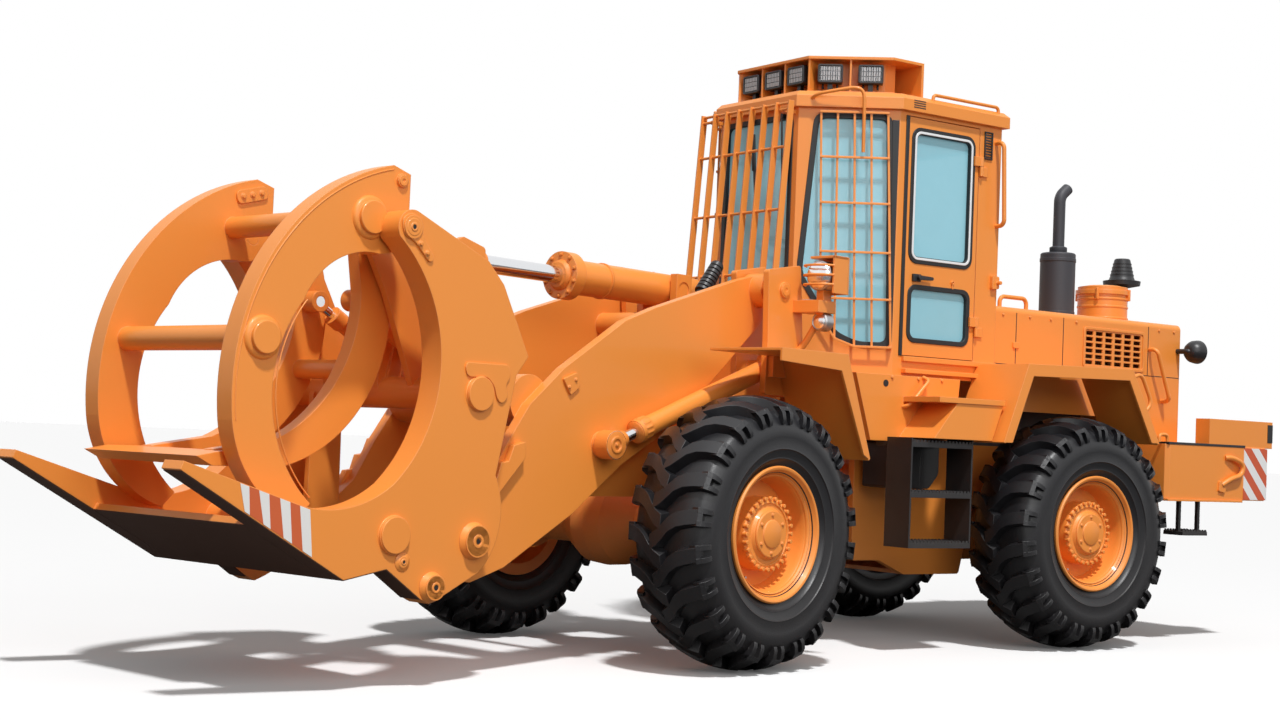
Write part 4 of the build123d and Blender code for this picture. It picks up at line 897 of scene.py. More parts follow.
@dataclass
class Tyre:
    """An earthmover tyre with chevron lugs whose ends are hollow at the shoulder."""

    suffix: str
    half: Half
    axle_x: float
    side: Side
    track: float = 0.985
    radius: float = 0.740
    bead: Flat = (0.170, 0.322)
    tread_half: float = 0.225
    crown_drop: float = 0.055
    lug_depth: float = 0.058
    lug_root: float = 0.012
    lugs: int = 22
    lug_half: float = 0.050
    lug_top: float = 0.8
    lug_foot: float = 1.2
    leg_span: Flat = (0.42, 1.05)
    sides: int = 110
    round_edge: float = 0.004
    # Columns: distance from the middle plane, radius
    carcass: tuple[Flat, ...] = (
        (0.170, 0.325), (0.199, 0.330), (0.200, 0.372), (0.222, 0.402), (0.229, 0.405), (0.228, 0.412),
        (0.243, 0.452), (0.250, 0.456), (0.247, 0.464), (0.254, 0.520), (0.255, 0.552), (0.249, 0.580),
        (0.238, 0.600), (0.222, 0.632), (0.198, 0.650), (0.120, 0.674), (0.0, 0.682),
    )
    # Columns: distance from the middle plane, lead round the tyre in radians
    lug_path: tuple[Flat, ...] = (
        (-0.034, 0.205), (0.010, 0.172), (0.045, 0.125), (0.080, 0.070), (0.125, 0.032), (0.175, 0.014),
        (0.228, 0.0),
    )
    # Columns: radius, width of the outer face, width of the inner face
    leg: tuple[Solid, ...] = (
        (0.684, 0.230, 0.190), (0.650, 0.256, 0.205), (0.610, 0.262, 0.225), (0.588, 0.256, 0.240),
    )
    # Columns: radius, width of the outer face, width of the inner face
    cap: tuple[Solid, ...] = ((0.684, 0.230, 0.19), (0.662, 0.248, 0.19))

    def spot(self, width: float, radius: float, angle: float) -> Vector:
        """Return a place on the tyre by width, radius and angle."""
        x, y = self.axle_x + radius * math.sin(angle), self.side.value * self.track + width
        return Vector((x, y, self.radius + radius * math.cos(angle)))

    def top(self, width: float) -> float:
        """Return the radius of the tread over a width."""
        return self.radius - self.crown_drop * (width / self.tread_half) ** 2

    def block(self, shape: Shape, hand: int, levels: Sequence[Point], start: float, end: float) -> None:
        """Add a block on the shoulder between two angles.

        Args:
            shape: the mesh to add to.
            hand: 1 or -1 for the side of the tread.
            levels: radius, outer and inner width of each level.
            start: the angle where it starts.
            end: the angle where it ends.
        """
        loops = []
        for radius, outer, inner in levels:
            corners = ((outer, start), (outer, end), (inner, end), (inner, start))
            loops.append([self.spot(hand * width, radius, angle) for width, angle in corners])
        shape.loft(loops)

    def lug(self, shape: Shape, hand: int, angle: float) -> None:
        """Add one lug from the middle of the tread to its hollow end.

        Args:
            shape: the mesh to add to.
            hand: 1 or -1 for the side of the tread.
            angle: the lug's place round the tyre.
        """
        wide = self.lug_half / self.radius
        rings = []
        for width, lead in self.lug_path:
            high, reach = self.top(width), angle + lead
            low = high - self.lug_depth - self.lug_root
            foot, top = wide * self.lug_foot, wide * self.lug_top
            corners = ((low, -foot), (high, -top), (high, top), (low, foot))
            rings.append([self.spot(hand * width, radius, reach + turn) for radius, turn in corners])
        shape.loft(rings)
        near, far = self.leg_span
        self.block(shape, hand, self.leg, angle - wide * far, angle - wide * near)
        self.block(shape, hand, self.leg, angle + wide * near, angle + wide * far)
        self.block(shape, hand, self.cap, angle - wide * far, angle + wide * far)

    def build(self) -> None:
        """Build the tyre in place of its plain solid."""
        shape = Shape()
        width, radius = self.bead
        far_side = [(-w, r) for w, r in reversed(self.carcass[:-1])]
        profile = [*self.carcass, *far_side, (-width, radius), self.bead]
        middle = (self.axle_x, self.side.value * self.track, self.radius)
        shape.lathe(profile, middle, (0, 1, 0), self.sides, closed=True)
        for k in range(self.lugs):
            self.lug(shape, 1, TURN * k / self.lugs)
            self.lug(shape, -1, TURN * (k + 0.5) / self.lugs)
        name = f"lugged_tyre_{self.suffix}"
        piece = shape.make(name, self.half, f"wheel_{self.suffix}", RUBBER, self.round_edge)
        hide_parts(f"tyre_{self.suffix}")


@dataclass
class WheelTrim:
    """Bolts, rings and valve on one wheel."""

    suffix: str
    half: Half
    axle_x: float
    side: Side
    track: float = 0.985
    height: float = 0.740
    ring_bolts: int = 28
    ring_r: float = 0.190
    ring_span: Flat = (0.135, 0.166)
    ring_bolt: float = 0.0115
    cover_bolts: int = 6
    cover_r: float = 0.102
    cover_out: float = 0.179
    cover_bolt: float = 0.008
    valve_turn: float = 2.5
    valve_r: float = 0.006
    # Columns: distance outwards, radius
    hub: tuple[Flat, ...] = (
        (0.050, 0.2), (0.143, 0.196), (0.150, 0.188), (0.157, 0.165), (0.150, 0.160), (0.05, 0.160),
    )
    cover: tuple[Flat, ...] = ((0.166, 0.128), (0.173, 0.128), (0.179, 0.122), (0.179, 0.0))
    cap: tuple[Flat, ...] = ((0.175, 0.075), (0.184, 0.075), (0.187, 0.070), (0.187, 0.0))
    lip: tuple[Flat, ...] = (
        (0.190, 0.362), (0.214, 0.366), (0.222, 0.358), (0.219, 0.346), (0.204, 0.336), (0.180, 0.321),
        (0.172, 0.310), (0.160, 0.302), (0.120, 0.298), (0.120, 0.306), (0.160, 0.312), (0.186, 0.340),
    )
    valve: tuple[Flat, ...] = ((0.06, 0.300), (0.11, 0.290), (0.15, 0.284))

    def spot(self, out: float, radius: float, angle: float) -> Vector:
        """Return a place by distance outwards, radius and angle."""
        x, y = self.axle_x + radius * math.sin(angle), self.side.value * (self.track + out)
        return Vector((x, y, self.height + radius * math.cos(angle)))

    def build(self) -> None:
        """Build the fittings of the hub and the rim."""
        out, body = (0, self.side.value, 0), f"wheel_{self.suffix}"
        centre = self.spot(0.0, 0.0, 0.0)
        hub = Shape().lathe(self.hub, centre, out, 72, True)
        for angle in turns(self.ring_bolts):
            ends = [self.spot(along, self.ring_r, angle) for along in self.ring_span]
            hub.rod(*ends, self.ring_bolt, sides=10)
        hub.lathe(self.cover, centre, out, 48)
        hub.lathe(self.cap, centre, out, 40)
        heads = [self.spot(self.cover_out, self.cover_r, angle) for angle in turns(self.cover_bolts)]
        hub.bolts(heads, out, self.cover_bolt, self.cover_bolt)
        hub.make(f"hub_ring_{self.suffix}", self.half, body, PAINT, 0.0015)
        rim = Shape().lathe(self.lip, centre, out, 96, True)
        rim.make(f"rim_lip_{self.suffix}", self.half, body, PAINT)
        path = [self.spot(along, radius, self.valve_turn) for along, radius in self.valve]
        Shape().pipe(path, self.valve_r, 0.02).make(f"valve_{self.suffix}", self.half, body, STEEL)


@dataclass(frozen=True)
class Facets:
    """A faceted front in plan: a middle facet and one at each side."""

    front: float
    nose_half: float
    corner_x: float
    half_width: float

    def normal(self, facet: Facet) -> Flat:
        """Find which way a facet faces.

        Args:
            facet: the facet.

        Returns:
            Its outward normal in plan.
        """
        if facet is Facet.FRONT:
            return (1.0, 0.0)
        run = math.hypot(self.front - self.corner_x, self.half_width - self.nose_half)
        return ((self.half_width - self.nose_half) / run, facet.value * (self.front - self.corner_x) / run)

    def sheet(self, facet: Facet, z: float, along: float = 0.0, inset: float = 0.0) -> Sheet:
        """Find the flat place on a facet.

        Args:
            facet: the facet.
            z: its height.
            along: how far along the facet from its middle.
            inset: how far inside the facet.

        Returns:
            The sheet.
        """
        nx, ny = self.normal(facet)
        x, y = self.front, 0.0
        if facet is not Facet.FRONT:
            x = (self.front + self.corner_x) / 2
            y = facet.value * (self.half_width + self.nose_half) / 2
        origin = (x - ny * along - nx * inset, y + nx * along - ny * inset, z)
        return Sheet(origin, (-ny, nx, 0.0), (0.0, 0.0, 1.0))


@dataclass
class Cab:
    """Seals, trim, wipers and fittings of the cab."""

    plan: Facets = Facets(0.320, 0.380, -0.160, 0.780)
    rear: float = -1.050
    door_mid: float = -0.5375
    door_window: float = 0.510
    # Columns: middle height, height, width of the seal
    door_windows: tuple[Solid, ...] = ((2.790, 0.800, 0.044), (2.060, 0.330, 0.030))
    # Columns: middle height, width, height
    front_window: Solid = (2.670, 0.640, 1.160)
    side_window: Solid = (2.790, 0.500, 0.820)
    rear_window: Solid = (2.800, 1.100, 0.760)
    window_r: float = 0.050
    seal: float = 0.034
    seal_depth: float = 0.022
    seal_out: float = 0.006
    # Columns: distance rearwards along the facet, height
    corner_window: tuple[Flat, ...] = (
        (-0.270, 2.276), (-0.045, 1.915), (0.095, 1.855), (0.285, 1.855), (0.245, 3.250), (-0.195, 3.250),
    )
    corner_strip: tuple[Flat, ...] = ((0.262, 3.235), (0.306, 3.235), (0.306, 1.870), (0.288, 1.870))
    pillar_strip: tuple[Flat, ...] = ((-0.236, -0.208), (0.774, 0.7865), (1.795, 3.275))
    # Columns: distance rearwards along the facet, height, distance out
    corner_tube: tuple[Solid, ...] = (
        (-0.235, 3.350, 0.030), (-0.205, 3.372, 0.075), (0.035, 3.415, 0.105), (0.082, 3.385, 0.100),
        (0.088, 3.020, 0.070),
    )
    tube_r: float = 0.011
    handle_base: tuple[Flat, ...] = ((-0.365, -0.300), (0.778, 0.796), (2.258, 2.304))
    handle_lever: tuple[Flat, ...] = ((-0.455, 2.292), (-0.455, 2.272), (-0.340, 2.268), (-0.340, 2.296))
    handle_y: Flat = (0.796, 0.816)
    handle_pivot: Flat = (-0.345, 2.281)
    lock_at: Solid = (-0.650, 0.784, 2.275)
    lock_tab: tuple[Flat, ...] = ((-0.656, -0.644), (0.778, 0.788), (2.235, 2.262))
    # Columns: x, z of the vent's frame outside and inside
    vent_out: tuple[Flat, ...] = ((-0.965, 3.085), (-0.893, 3.085), (-0.893, 3.262), (-0.965, 3.262))
    vent_in: tuple[Flat, ...] = ((-0.957, 3.093), (-0.901, 3.093), (-0.901, 3.254), (-0.957, 3.254))
    # Columns: x span, y span, z span of the lowest slat, pitch, count
    slat_rows: tuple[tuple[Flat, Flat, Flat, float, int], ...] = (
        ((-0.959, -0.899), (0.776, 0.786), (3.098, 3.106), 0.0175, 9),
        ((-0.335, -0.235), (0.8142, 0.8168), (3.322, 3.328), 0.014, 4),
    )
    # Columns: x span, y span, z span
    sills: tuple[tuple[Flat, ...], ...] = (
        ((-1.045, -0.236), (0.776, 0.802), (1.762, 1.794)),
        ((-0.900, -0.236), (0.776, 0.822), (1.690, 1.716)),
    )
    catch: tuple[Flat, ...] = ((-1.046, 2.268), (-0.985, 2.262), (-0.985, 2.352), (-1.046, 2.345))
    catch_y: Flat = (0.774, 0.806)
    catch_pin: Flat = (-1.030, 2.305)
    catch_pin_y: Flat = (0.80, 0.835)
    roof_rail: tuple[Flat, ...] = ((-0.42, 3.375), (-0.42, 3.428), (-1.00, 3.428), (-1.00, 3.375))
    roof_rail_y: float = 0.790
    grab: tuple[Solid, ...] = (
        (-0.358, 0.848, 1.668), (-0.374, 0.892, 1.650), (-0.213, 0.892, 1.492), (-0.196, 0.848, 1.480),
    )
    grab_r: float = 0.012
    skirt_y: float = 0.850
    skirt_bolts: tuple[float, ...] = (-0.10, -0.32, -0.52)
    skirt_bolt_z: float = 1.655
    # Place of a hole in the skirt, drawn as a dark disc of painted shade.
    skirt_hole_shade: Flat = (-0.049, 1.617)
    # Columns: y and z of the pivot, of the blade's foot and of the blade's top
    front_wipers: tuple[tuple[Flat, ...], ...] = (
        ((0.250, 3.255), (0.262, 2.420), (0.318, 3.060)),
        ((-0.050, 3.255), (0.020, 2.700), (-0.030, 3.170)),
    )
    rear_wiper: tuple[Flat, ...] = ((0.10, 2.430), (-0.06, 2.760))
    rear_blade: tuple[Flat, ...] = ((-0.02, 2.560), (-0.11, 3.000))

    def wall(self, point: Point, normal: Point, z: float) -> Sheet:
        """Return the sheet of a plain outer wall at a height."""
        return Sheet((point[0], point[1], z), (-normal[1], normal[0], 0.0), (0.0, 0.0, 1.0))

    def seal_ring(self, shape: Shape, sheet: Sheet, width: float, height: float, band: float) -> None:
        """Add a rounded frame round a window.

        Args:
            shape: the mesh to add to.
            sheet: the wall, with the window's middle as its origin.
            width: the window's width.
            height: the window's height.
            band: the width of the frame.
        """
        outer = rounded_rectangle(width + band, height + band, self.window_r + band / 2)
        inner = rounded_rectangle(width - band, height - band, self.window_r - band / 3)
        shape.rim(outer, inner, sheet, -self.seal_depth, self.seal_out)

    def windows(self) -> None:
        """Build the black seals of all fixed windows."""
        seals = Shape()
        front = self.plan.sheet(Facet.FRONT, self.front_window[0])
        side = self.wall((self.door_mid, -self.plan.half_width), (0.0, -1.0), self.side_window[0])
        rear = self.wall((self.rear, 0.0), (-1.0, 0.0), self.rear_window[0])
        windows = (self.front_window, self.side_window, self.rear_window)
        for sheet, (_, width, height) in zip((front, side, rear), windows):
            self.seal_ring(seals, sheet, width, height, self.seal)
        for facet in (Facet.LEFT, Facet.RIGHT):
            hand, sheet = facet.value, self.plan.sheet(facet, 0.0)
            outline = self.corner_window
            if facet is Facet.RIGHT:
                outline = [(-u, z) for u, z in reversed(self.corner_window)]
            outer = softened(grown(outline, 0.022), 0.075)
            inner = softened(grown(outline, -0.014), 0.050)
            seals.rim(outer, inner, sheet, -self.seal_depth, 0.007)
            seals.slab([(hand * u, z) for u, z in self.corner_strip], sheet, -0.004, 0.009)
        seals.box(*self.pillar_strip)
        seals.make("window_seals", REAR, "rear_half", SEAL, 0.003)

    def door(self) -> None:
        """Build the door's window trim, handle and lock."""
        seals, trim = Shape(), Shape()
        sheets = []
        for z, height, band in self.door_windows:
            sheets.append(self.wall((self.door_mid, self.plan.half_width), (0.0, 1.0), z))
            self.seal_ring(seals, sheets[-1], self.door_window, height, band)
        width, height = self.door_window, self.door_windows[0][1]
        outer = rounded_rectangle(width - 0.004, height - 0.004, self.window_r)
        inner = rounded_rectangle(width - 0.034, height - 0.034, self.window_r - 0.012)
        trim.rim(outer, inner, sheets[0], 0.0, 0.010)
        seals.make("door_window_seals", REAR, "door", SEAL, 0.003)
        trim.make("door_window_trim", REAR, "door", BRIGHT, 0.002)
        handle = Shape().box(*self.handle_base)
        handle.plate(softened(self.handle_lever, 0.01), self.handle_y)
        x, z = self.handle_pivot
        handle.rod((x, 0.790, z), (x, 0.818, z), 0.016)
        handle.make("door_handle", REAR, "door", PLASTIC, 0.003)
        lock = Shape().collar(self.lock_at, (0, 1, 0), 0.014, 0.006, 0.006)
        lock.box(*self.lock_tab)
        lock.make("door_lock", REAR, "door", PAINT, 0.001)

    def vents(self) -> None:
        """Build the vents of the door pillar and the roof."""
        sheet = Sheet((0, 0.778, 0), (1, 0, 0), (0, 0, 1))
        vent, slats = Shape().rim(self.vent_out, self.vent_in, sheet, -0.012, 0.0), Shape()
        for x, y, (low, high), pitch, count in self.slat_rows:
            for k in range(count):
                slats.box(x, y, (low + pitch * k, high + pitch * k))
        vent.make("pillar_vent", REAR, "rear_half", PLASTIC, 0.002)
        slats.make("vent_slats", REAR, "rear_half", PLASTIC)

    def fittings(self, side: Side) -> None:
        """Build sills, catch, rails and bolts on one side.

        Args:
            side: the side.
        """
        s, label = side.value, side.name.lower()
        metal = Shape()
        for x, y, z in self.sills:
            metal.box(x, [s * v for v in y], z)
        metal.plate(softened(self.catch, 0.012), [s * v for v in self.catch_y])
        x, z = self.catch_pin
        metal.rod(*((x, s * y, z) for y in self.catch_pin_y), 0.012)
        metal.pipe([(x, s * self.roof_rail_y, z) for x, z in self.roof_rail], self.tube_r, 0.03)
        heads = [(x, s * self.skirt_y, self.skirt_bolt_z) for x in self.skirt_bolts]
        metal.bolts(heads, (0, s, 0), 0.009, 0.009)
        metal.pipe([(x, s * y, z) for x, y, z in self.grab], self.grab_r, 0.03)
        metal.make(f"cab_side_fittings_{label}", REAR, "rear_half", PAINT, 0.002)
        # A near-black disc on the skirt: painted shade of a hole.
        x, z = self.skirt_hole_shade
        hole = Shape().collar((x, s * (self.skirt_y + 0.0005), z), (0, 1, 0), 0.021, 0.0005, 0.0015)
        hole.make(f"skirt_hole_shade_{label}", REAR, "rear_half", SEAL)

    def front_tubes(self) -> None:
        """Build the bent tubes from the roof over the corner windows."""
        tubes = Shape()
        for facet in (Facet.LEFT, Facet.RIGHT):
            sheet = self.plan.sheet(facet, 0.0)
            path = [sheet.point(facet.value * u, z, out) for u, z, out in self.corner_tube]
            tubes.pipe(path, self.tube_r, 0.06)
        tubes.make("corner_tubes", REAR, "rear_half", PAINT)

    def wipers(self) -> None:
        """Build the wipers of the windscreen and the rear window."""
        wipers = Shape()
        for pivot, foot, top in self.front_wipers:
            middle = ((foot[0] + top[0]) / 2, (foot[1] + top[1]) / 2)
            wipers.rod((0.322, *pivot), (0.350, *pivot), 0.016)
            wipers.pipe(((0.345, *pivot), (0.352, *middle)), 0.006)
            wipers.pipe(((0.334, *foot), (0.338, *middle), (0.334, *top)), 0.010, 0.1)
        pivot, middle = self.rear_wiper
        foot, top = self.rear_blade
        wipers.rod((-1.052, *pivot), (-1.085, *pivot), 0.018)
        wipers.pipe(((-1.078, *pivot), (-1.082, *middle)), 0.007)
        wipers.pipe(((-1.066, *foot), (-1.070, *middle), (-1.066, *top)), 0.011, 0.1)
        wipers.make("wipers", REAR, "rear_half", PLASTIC)

    def build(self) -> None:
        """Build all fittings of the cab."""
        self.windows()
        self.door()
        self.vents()
        for side in Side:
            self.fittings(side)
        self.front_tubes()
        self.wipers()


@dataclass
class Seat:
    """The driver's seat: a base with a back plate, a cushion and a back."""

    floor: float = 1.720
    half: float = 0.240
    base_high: float = 0.290
    pan_high: float = 0.340
    back_plate: tuple[Flat, ...] = ((-0.730, 2.080), (-0.690, 2.080), (-0.785, 2.780), (-0.825, 2.780))
    # Columns: middle, length and thickness, lean
    cushion: tuple[Solid, Flat, float] = ((-0.470, 0.0, 2.105), (0.500, 0.135), 0.04)
    back: tuple[Solid, Flat, float] = ((-0.705, 0.0, 2.440), (0.600, 0.130), 1.42)
    back_narrower: float = 0.02
    fill: float = 0.8

    def build(self) -> None:
        """Build the pads in place of the plain seat, and what carries them."""
        top = self.floor + self.base_high
        base = Shape().box((-0.620, -0.330), (-0.150, 0.150), (self.floor, top))
        base.box((-0.700, -0.260), (-0.200, 0.200), (top, self.floor + self.pan_high))
        base.plate(self.back_plate, (-0.180, 0.180))
        base.make("seat_base", REAR, "rear_half", PLASTIC, 0.01)
        pads = Shape()
        for pad, less in ((self.cushion, 0.0), (self.back, self.back_narrower)):
            middle, (length, thickness), lean = pad
            pads.pillow(middle, (length, 2 * self.half - less, thickness), lean)
        piece = pads.make("seat_pads", REAR, "rear_half", FABRIC)
        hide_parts("seat")


@dataclass
class RoofLamps:
    """Mirrors, ribbed lenses and bezels of the lamps in the box on the roof."""

    plan: Facets = Facets(0.230, 0.350, -0.160, 0.700)
    # Columns: facet, place along it
    places: tuple[tuple[Facet, float], ...] = (
        (Facet.LEFT, -0.125), (Facet.LEFT, 0.125), (Facet.FRONT, -0.220), (Facet.FRONT, 0.0),
        (Facet.FRONT, 0.220), (Facet.RIGHT, -0.125), (Facet.RIGHT, 0.125),
    )
    inset: float = 0.025
    height: float = 3.530
    width: float = 0.150
    tall: float = 0.110
    edge: float = 0.018
    ribs: int = 8
    rib_half: float = 0.0052
    rib_margin: float = 0.044
    # Columns: lower and upper end of each row of ribs
    rib_rows: tuple[Flat, ...] = ((-0.042, -0.017), (-0.013, 0.013), (0.017, 0.042))
    stay: Flat = (0.045, 0.007)

    def build(self) -> None:
        """Build the fronts of all lamps."""
        mirrors, lenses, ribs, bezels = Shape(), Shape(), Shape(), Shape()
        outer = rounded_rectangle(self.width + 0.006, self.tall + 0.006, 0.014)
        inner = rounded_rectangle(self.width - self.edge, self.tall - self.edge, 0.008)
        mirror = rounded_rectangle(self.width - 0.014, self.tall - 0.014, 0.01)
        lens = rounded_rectangle(self.width - self.edge, self.tall - self.edge, 0.01)
        for facet, along in self.places:
            sheet = self.plan.sheet(facet, self.height, along, self.inset)
            mirrors.slab(mirror, sheet, 0.0005, 0.004)
            lenses.slab(lens, sheet, 0.012, 0.015)
            for k in range(self.ribs):
                u = (k / (self.ribs - 1) - 0.5) * (self.width - self.rib_margin)
                wide = self.rib_half * (1.0 if k % 2 else 0.6)
                for low, high in self.rib_rows:
                    rib = ((u - wide, low), (u + wide, low), (u + wide, high), (u - wide, high))
                    ribs.slab(rib, sheet, 0.0148, 0.018)
            bezels.rim(outer, inner, sheet, -0.035, 0.019)
            apart, radius = self.stay
            for u in (-apart, apart):
                bezels.rod(sheet.point(u, -0.02, -0.06), sheet.point(u, -0.085, -0.06), radius)
        mirrors.make("roof_lamp_mirrors", REAR, "rear_half", LAMP_BOWL)
        lenses.make("roof_lamp_lenses", REAR, "rear_half", DARK_LENS)
        ribs.make("roof_lamp_ribs", REAR, "rear_half", LENS_RIB)
        bezels.make("roof_lamp_bezels", REAR, "rear_half", PLASTIC, 0.003)


@dataclass
class HeadLamps:
    """A lamp in a cage, a marker and a small lamp on a bracket beside the tower."""

    side: Side
    x: float = 0.800
    y: float = 0.860
    high: float = 2.200
    low: float = 1.935
    # Columns: distance forwards, radius
    bowl: tuple[Flat, ...] = (
        (-0.079, 0.02), (-0.078, 0.070), (-0.050, 0.087), (0.046, 0.088), (0.052, 0.080),
    )
    dome: tuple[Flat, ...] = ((0.050, 0.080), (0.062, 0.072), (0.072, 0.050), (0.077, 0.020), (0.078, 0.0))
    small_dome: tuple[Flat, ...] = ((0.022, 0.045), (0.032, 0.040), (0.040, 0.022), (0.042, 0.0))
    small_bowl: tuple[Flat, ...] = (
        (-0.04, 0.054), (0.024, 0.056), (0.030, 0.048), (0.024, 0.040), (-0.04, 0.044),
    )
    # Columns: span forwards of the lamp, y span, z span
    cage_sheets: tuple[tuple[Flat, ...], ...] = (
        ((-0.075, 0.055), (0.962, 0.976), (2.095, 2.310)),
        ((-0.085, -0.070), (0.790, 0.976), (2.095, 2.310)),
        ((-0.075, 0.055), (0.800, 0.976), (2.298, 2.312)),
    )
    post: tuple[Flat, ...] = ((-0.045, 0.030), (0.835, 0.885), (1.975, 2.120))
    marker: tuple[Flat, ...] = ((0.012, 0.055), (0.745, 0.815), (2.000, 2.065))
    bar_z: tuple[float, ...] = (2.145, 2.200, 2.255)
    # Columns: distance forwards of the lamp, y
    bar: tuple[Flat, ...] = ((0.050, 0.970), (0.105, 0.930), (0.120, 0.860), (0.105, 0.790), (0.040, 0.762))
    stay: tuple[Solid, ...] = ((0.835, 0.722, 1.765), (0.815, 0.760, 1.820), (0.785, 0.850, 1.990))

    def sheets(self, shape: Shape, blocks: Iterable[Sequence[Flat]]) -> None:
        """Add blocks placed from the lamp.

        Args:
            shape: the mesh to add to.
            blocks: span forwards of the lamp, y span and z span of each.
        """
        s = self.side.value
        for x, y, z in blocks:
            shape.box([self.x + v for v in x], [s * v for v in y], z)

    def build(self) -> None:
        """Build one side's lamps."""
        s, label, ahead = self.side.value, self.side.name.lower(), (1, 0, 0)
        large = Vector((self.x, s * self.y, self.high))
        small = Vector((self.x, s * self.y, self.low))
        bowl = Shape().lathe(self.bowl, large, ahead)
        bowl.make(f"head_lamp_bowl_{label}", FRONT, "front_half", STEEL, 0.002)
        dome = Shape().lathe(self.dome, large, ahead).lathe(self.small_dome, small, ahead)
        dome.make(f"head_lamp_lens_{label}", FRONT, "front_half", REFLECTOR)
        marker_bowl = Shape().lathe(self.small_bowl, small, ahead, 40, True)
        marker_bowl.make(f"marker_bowl_{label}", FRONT, "front_half", STEEL)
        cage = Shape()
        self.sheets(cage, self.cage_sheets)
        for z in self.bar_z:
            cage.pipe([(self.x + dx, s * y, z) for dx, y in self.bar], 0.007, 0.05)
        cage.pipe([(x, s * y, z) for x, y, z in self.stay], 0.020, 0.03)
        self.sheets(cage, (self.post,))
        cage.make(f"head_lamp_cage_{label}", FRONT, "front_half", PAINT, 0.002)
        lens = Shape()
        self.sheets(lens, (self.marker,))
        lens.make(f"side_marker_{label}", FRONT, "front_half", LENS, 0.006)


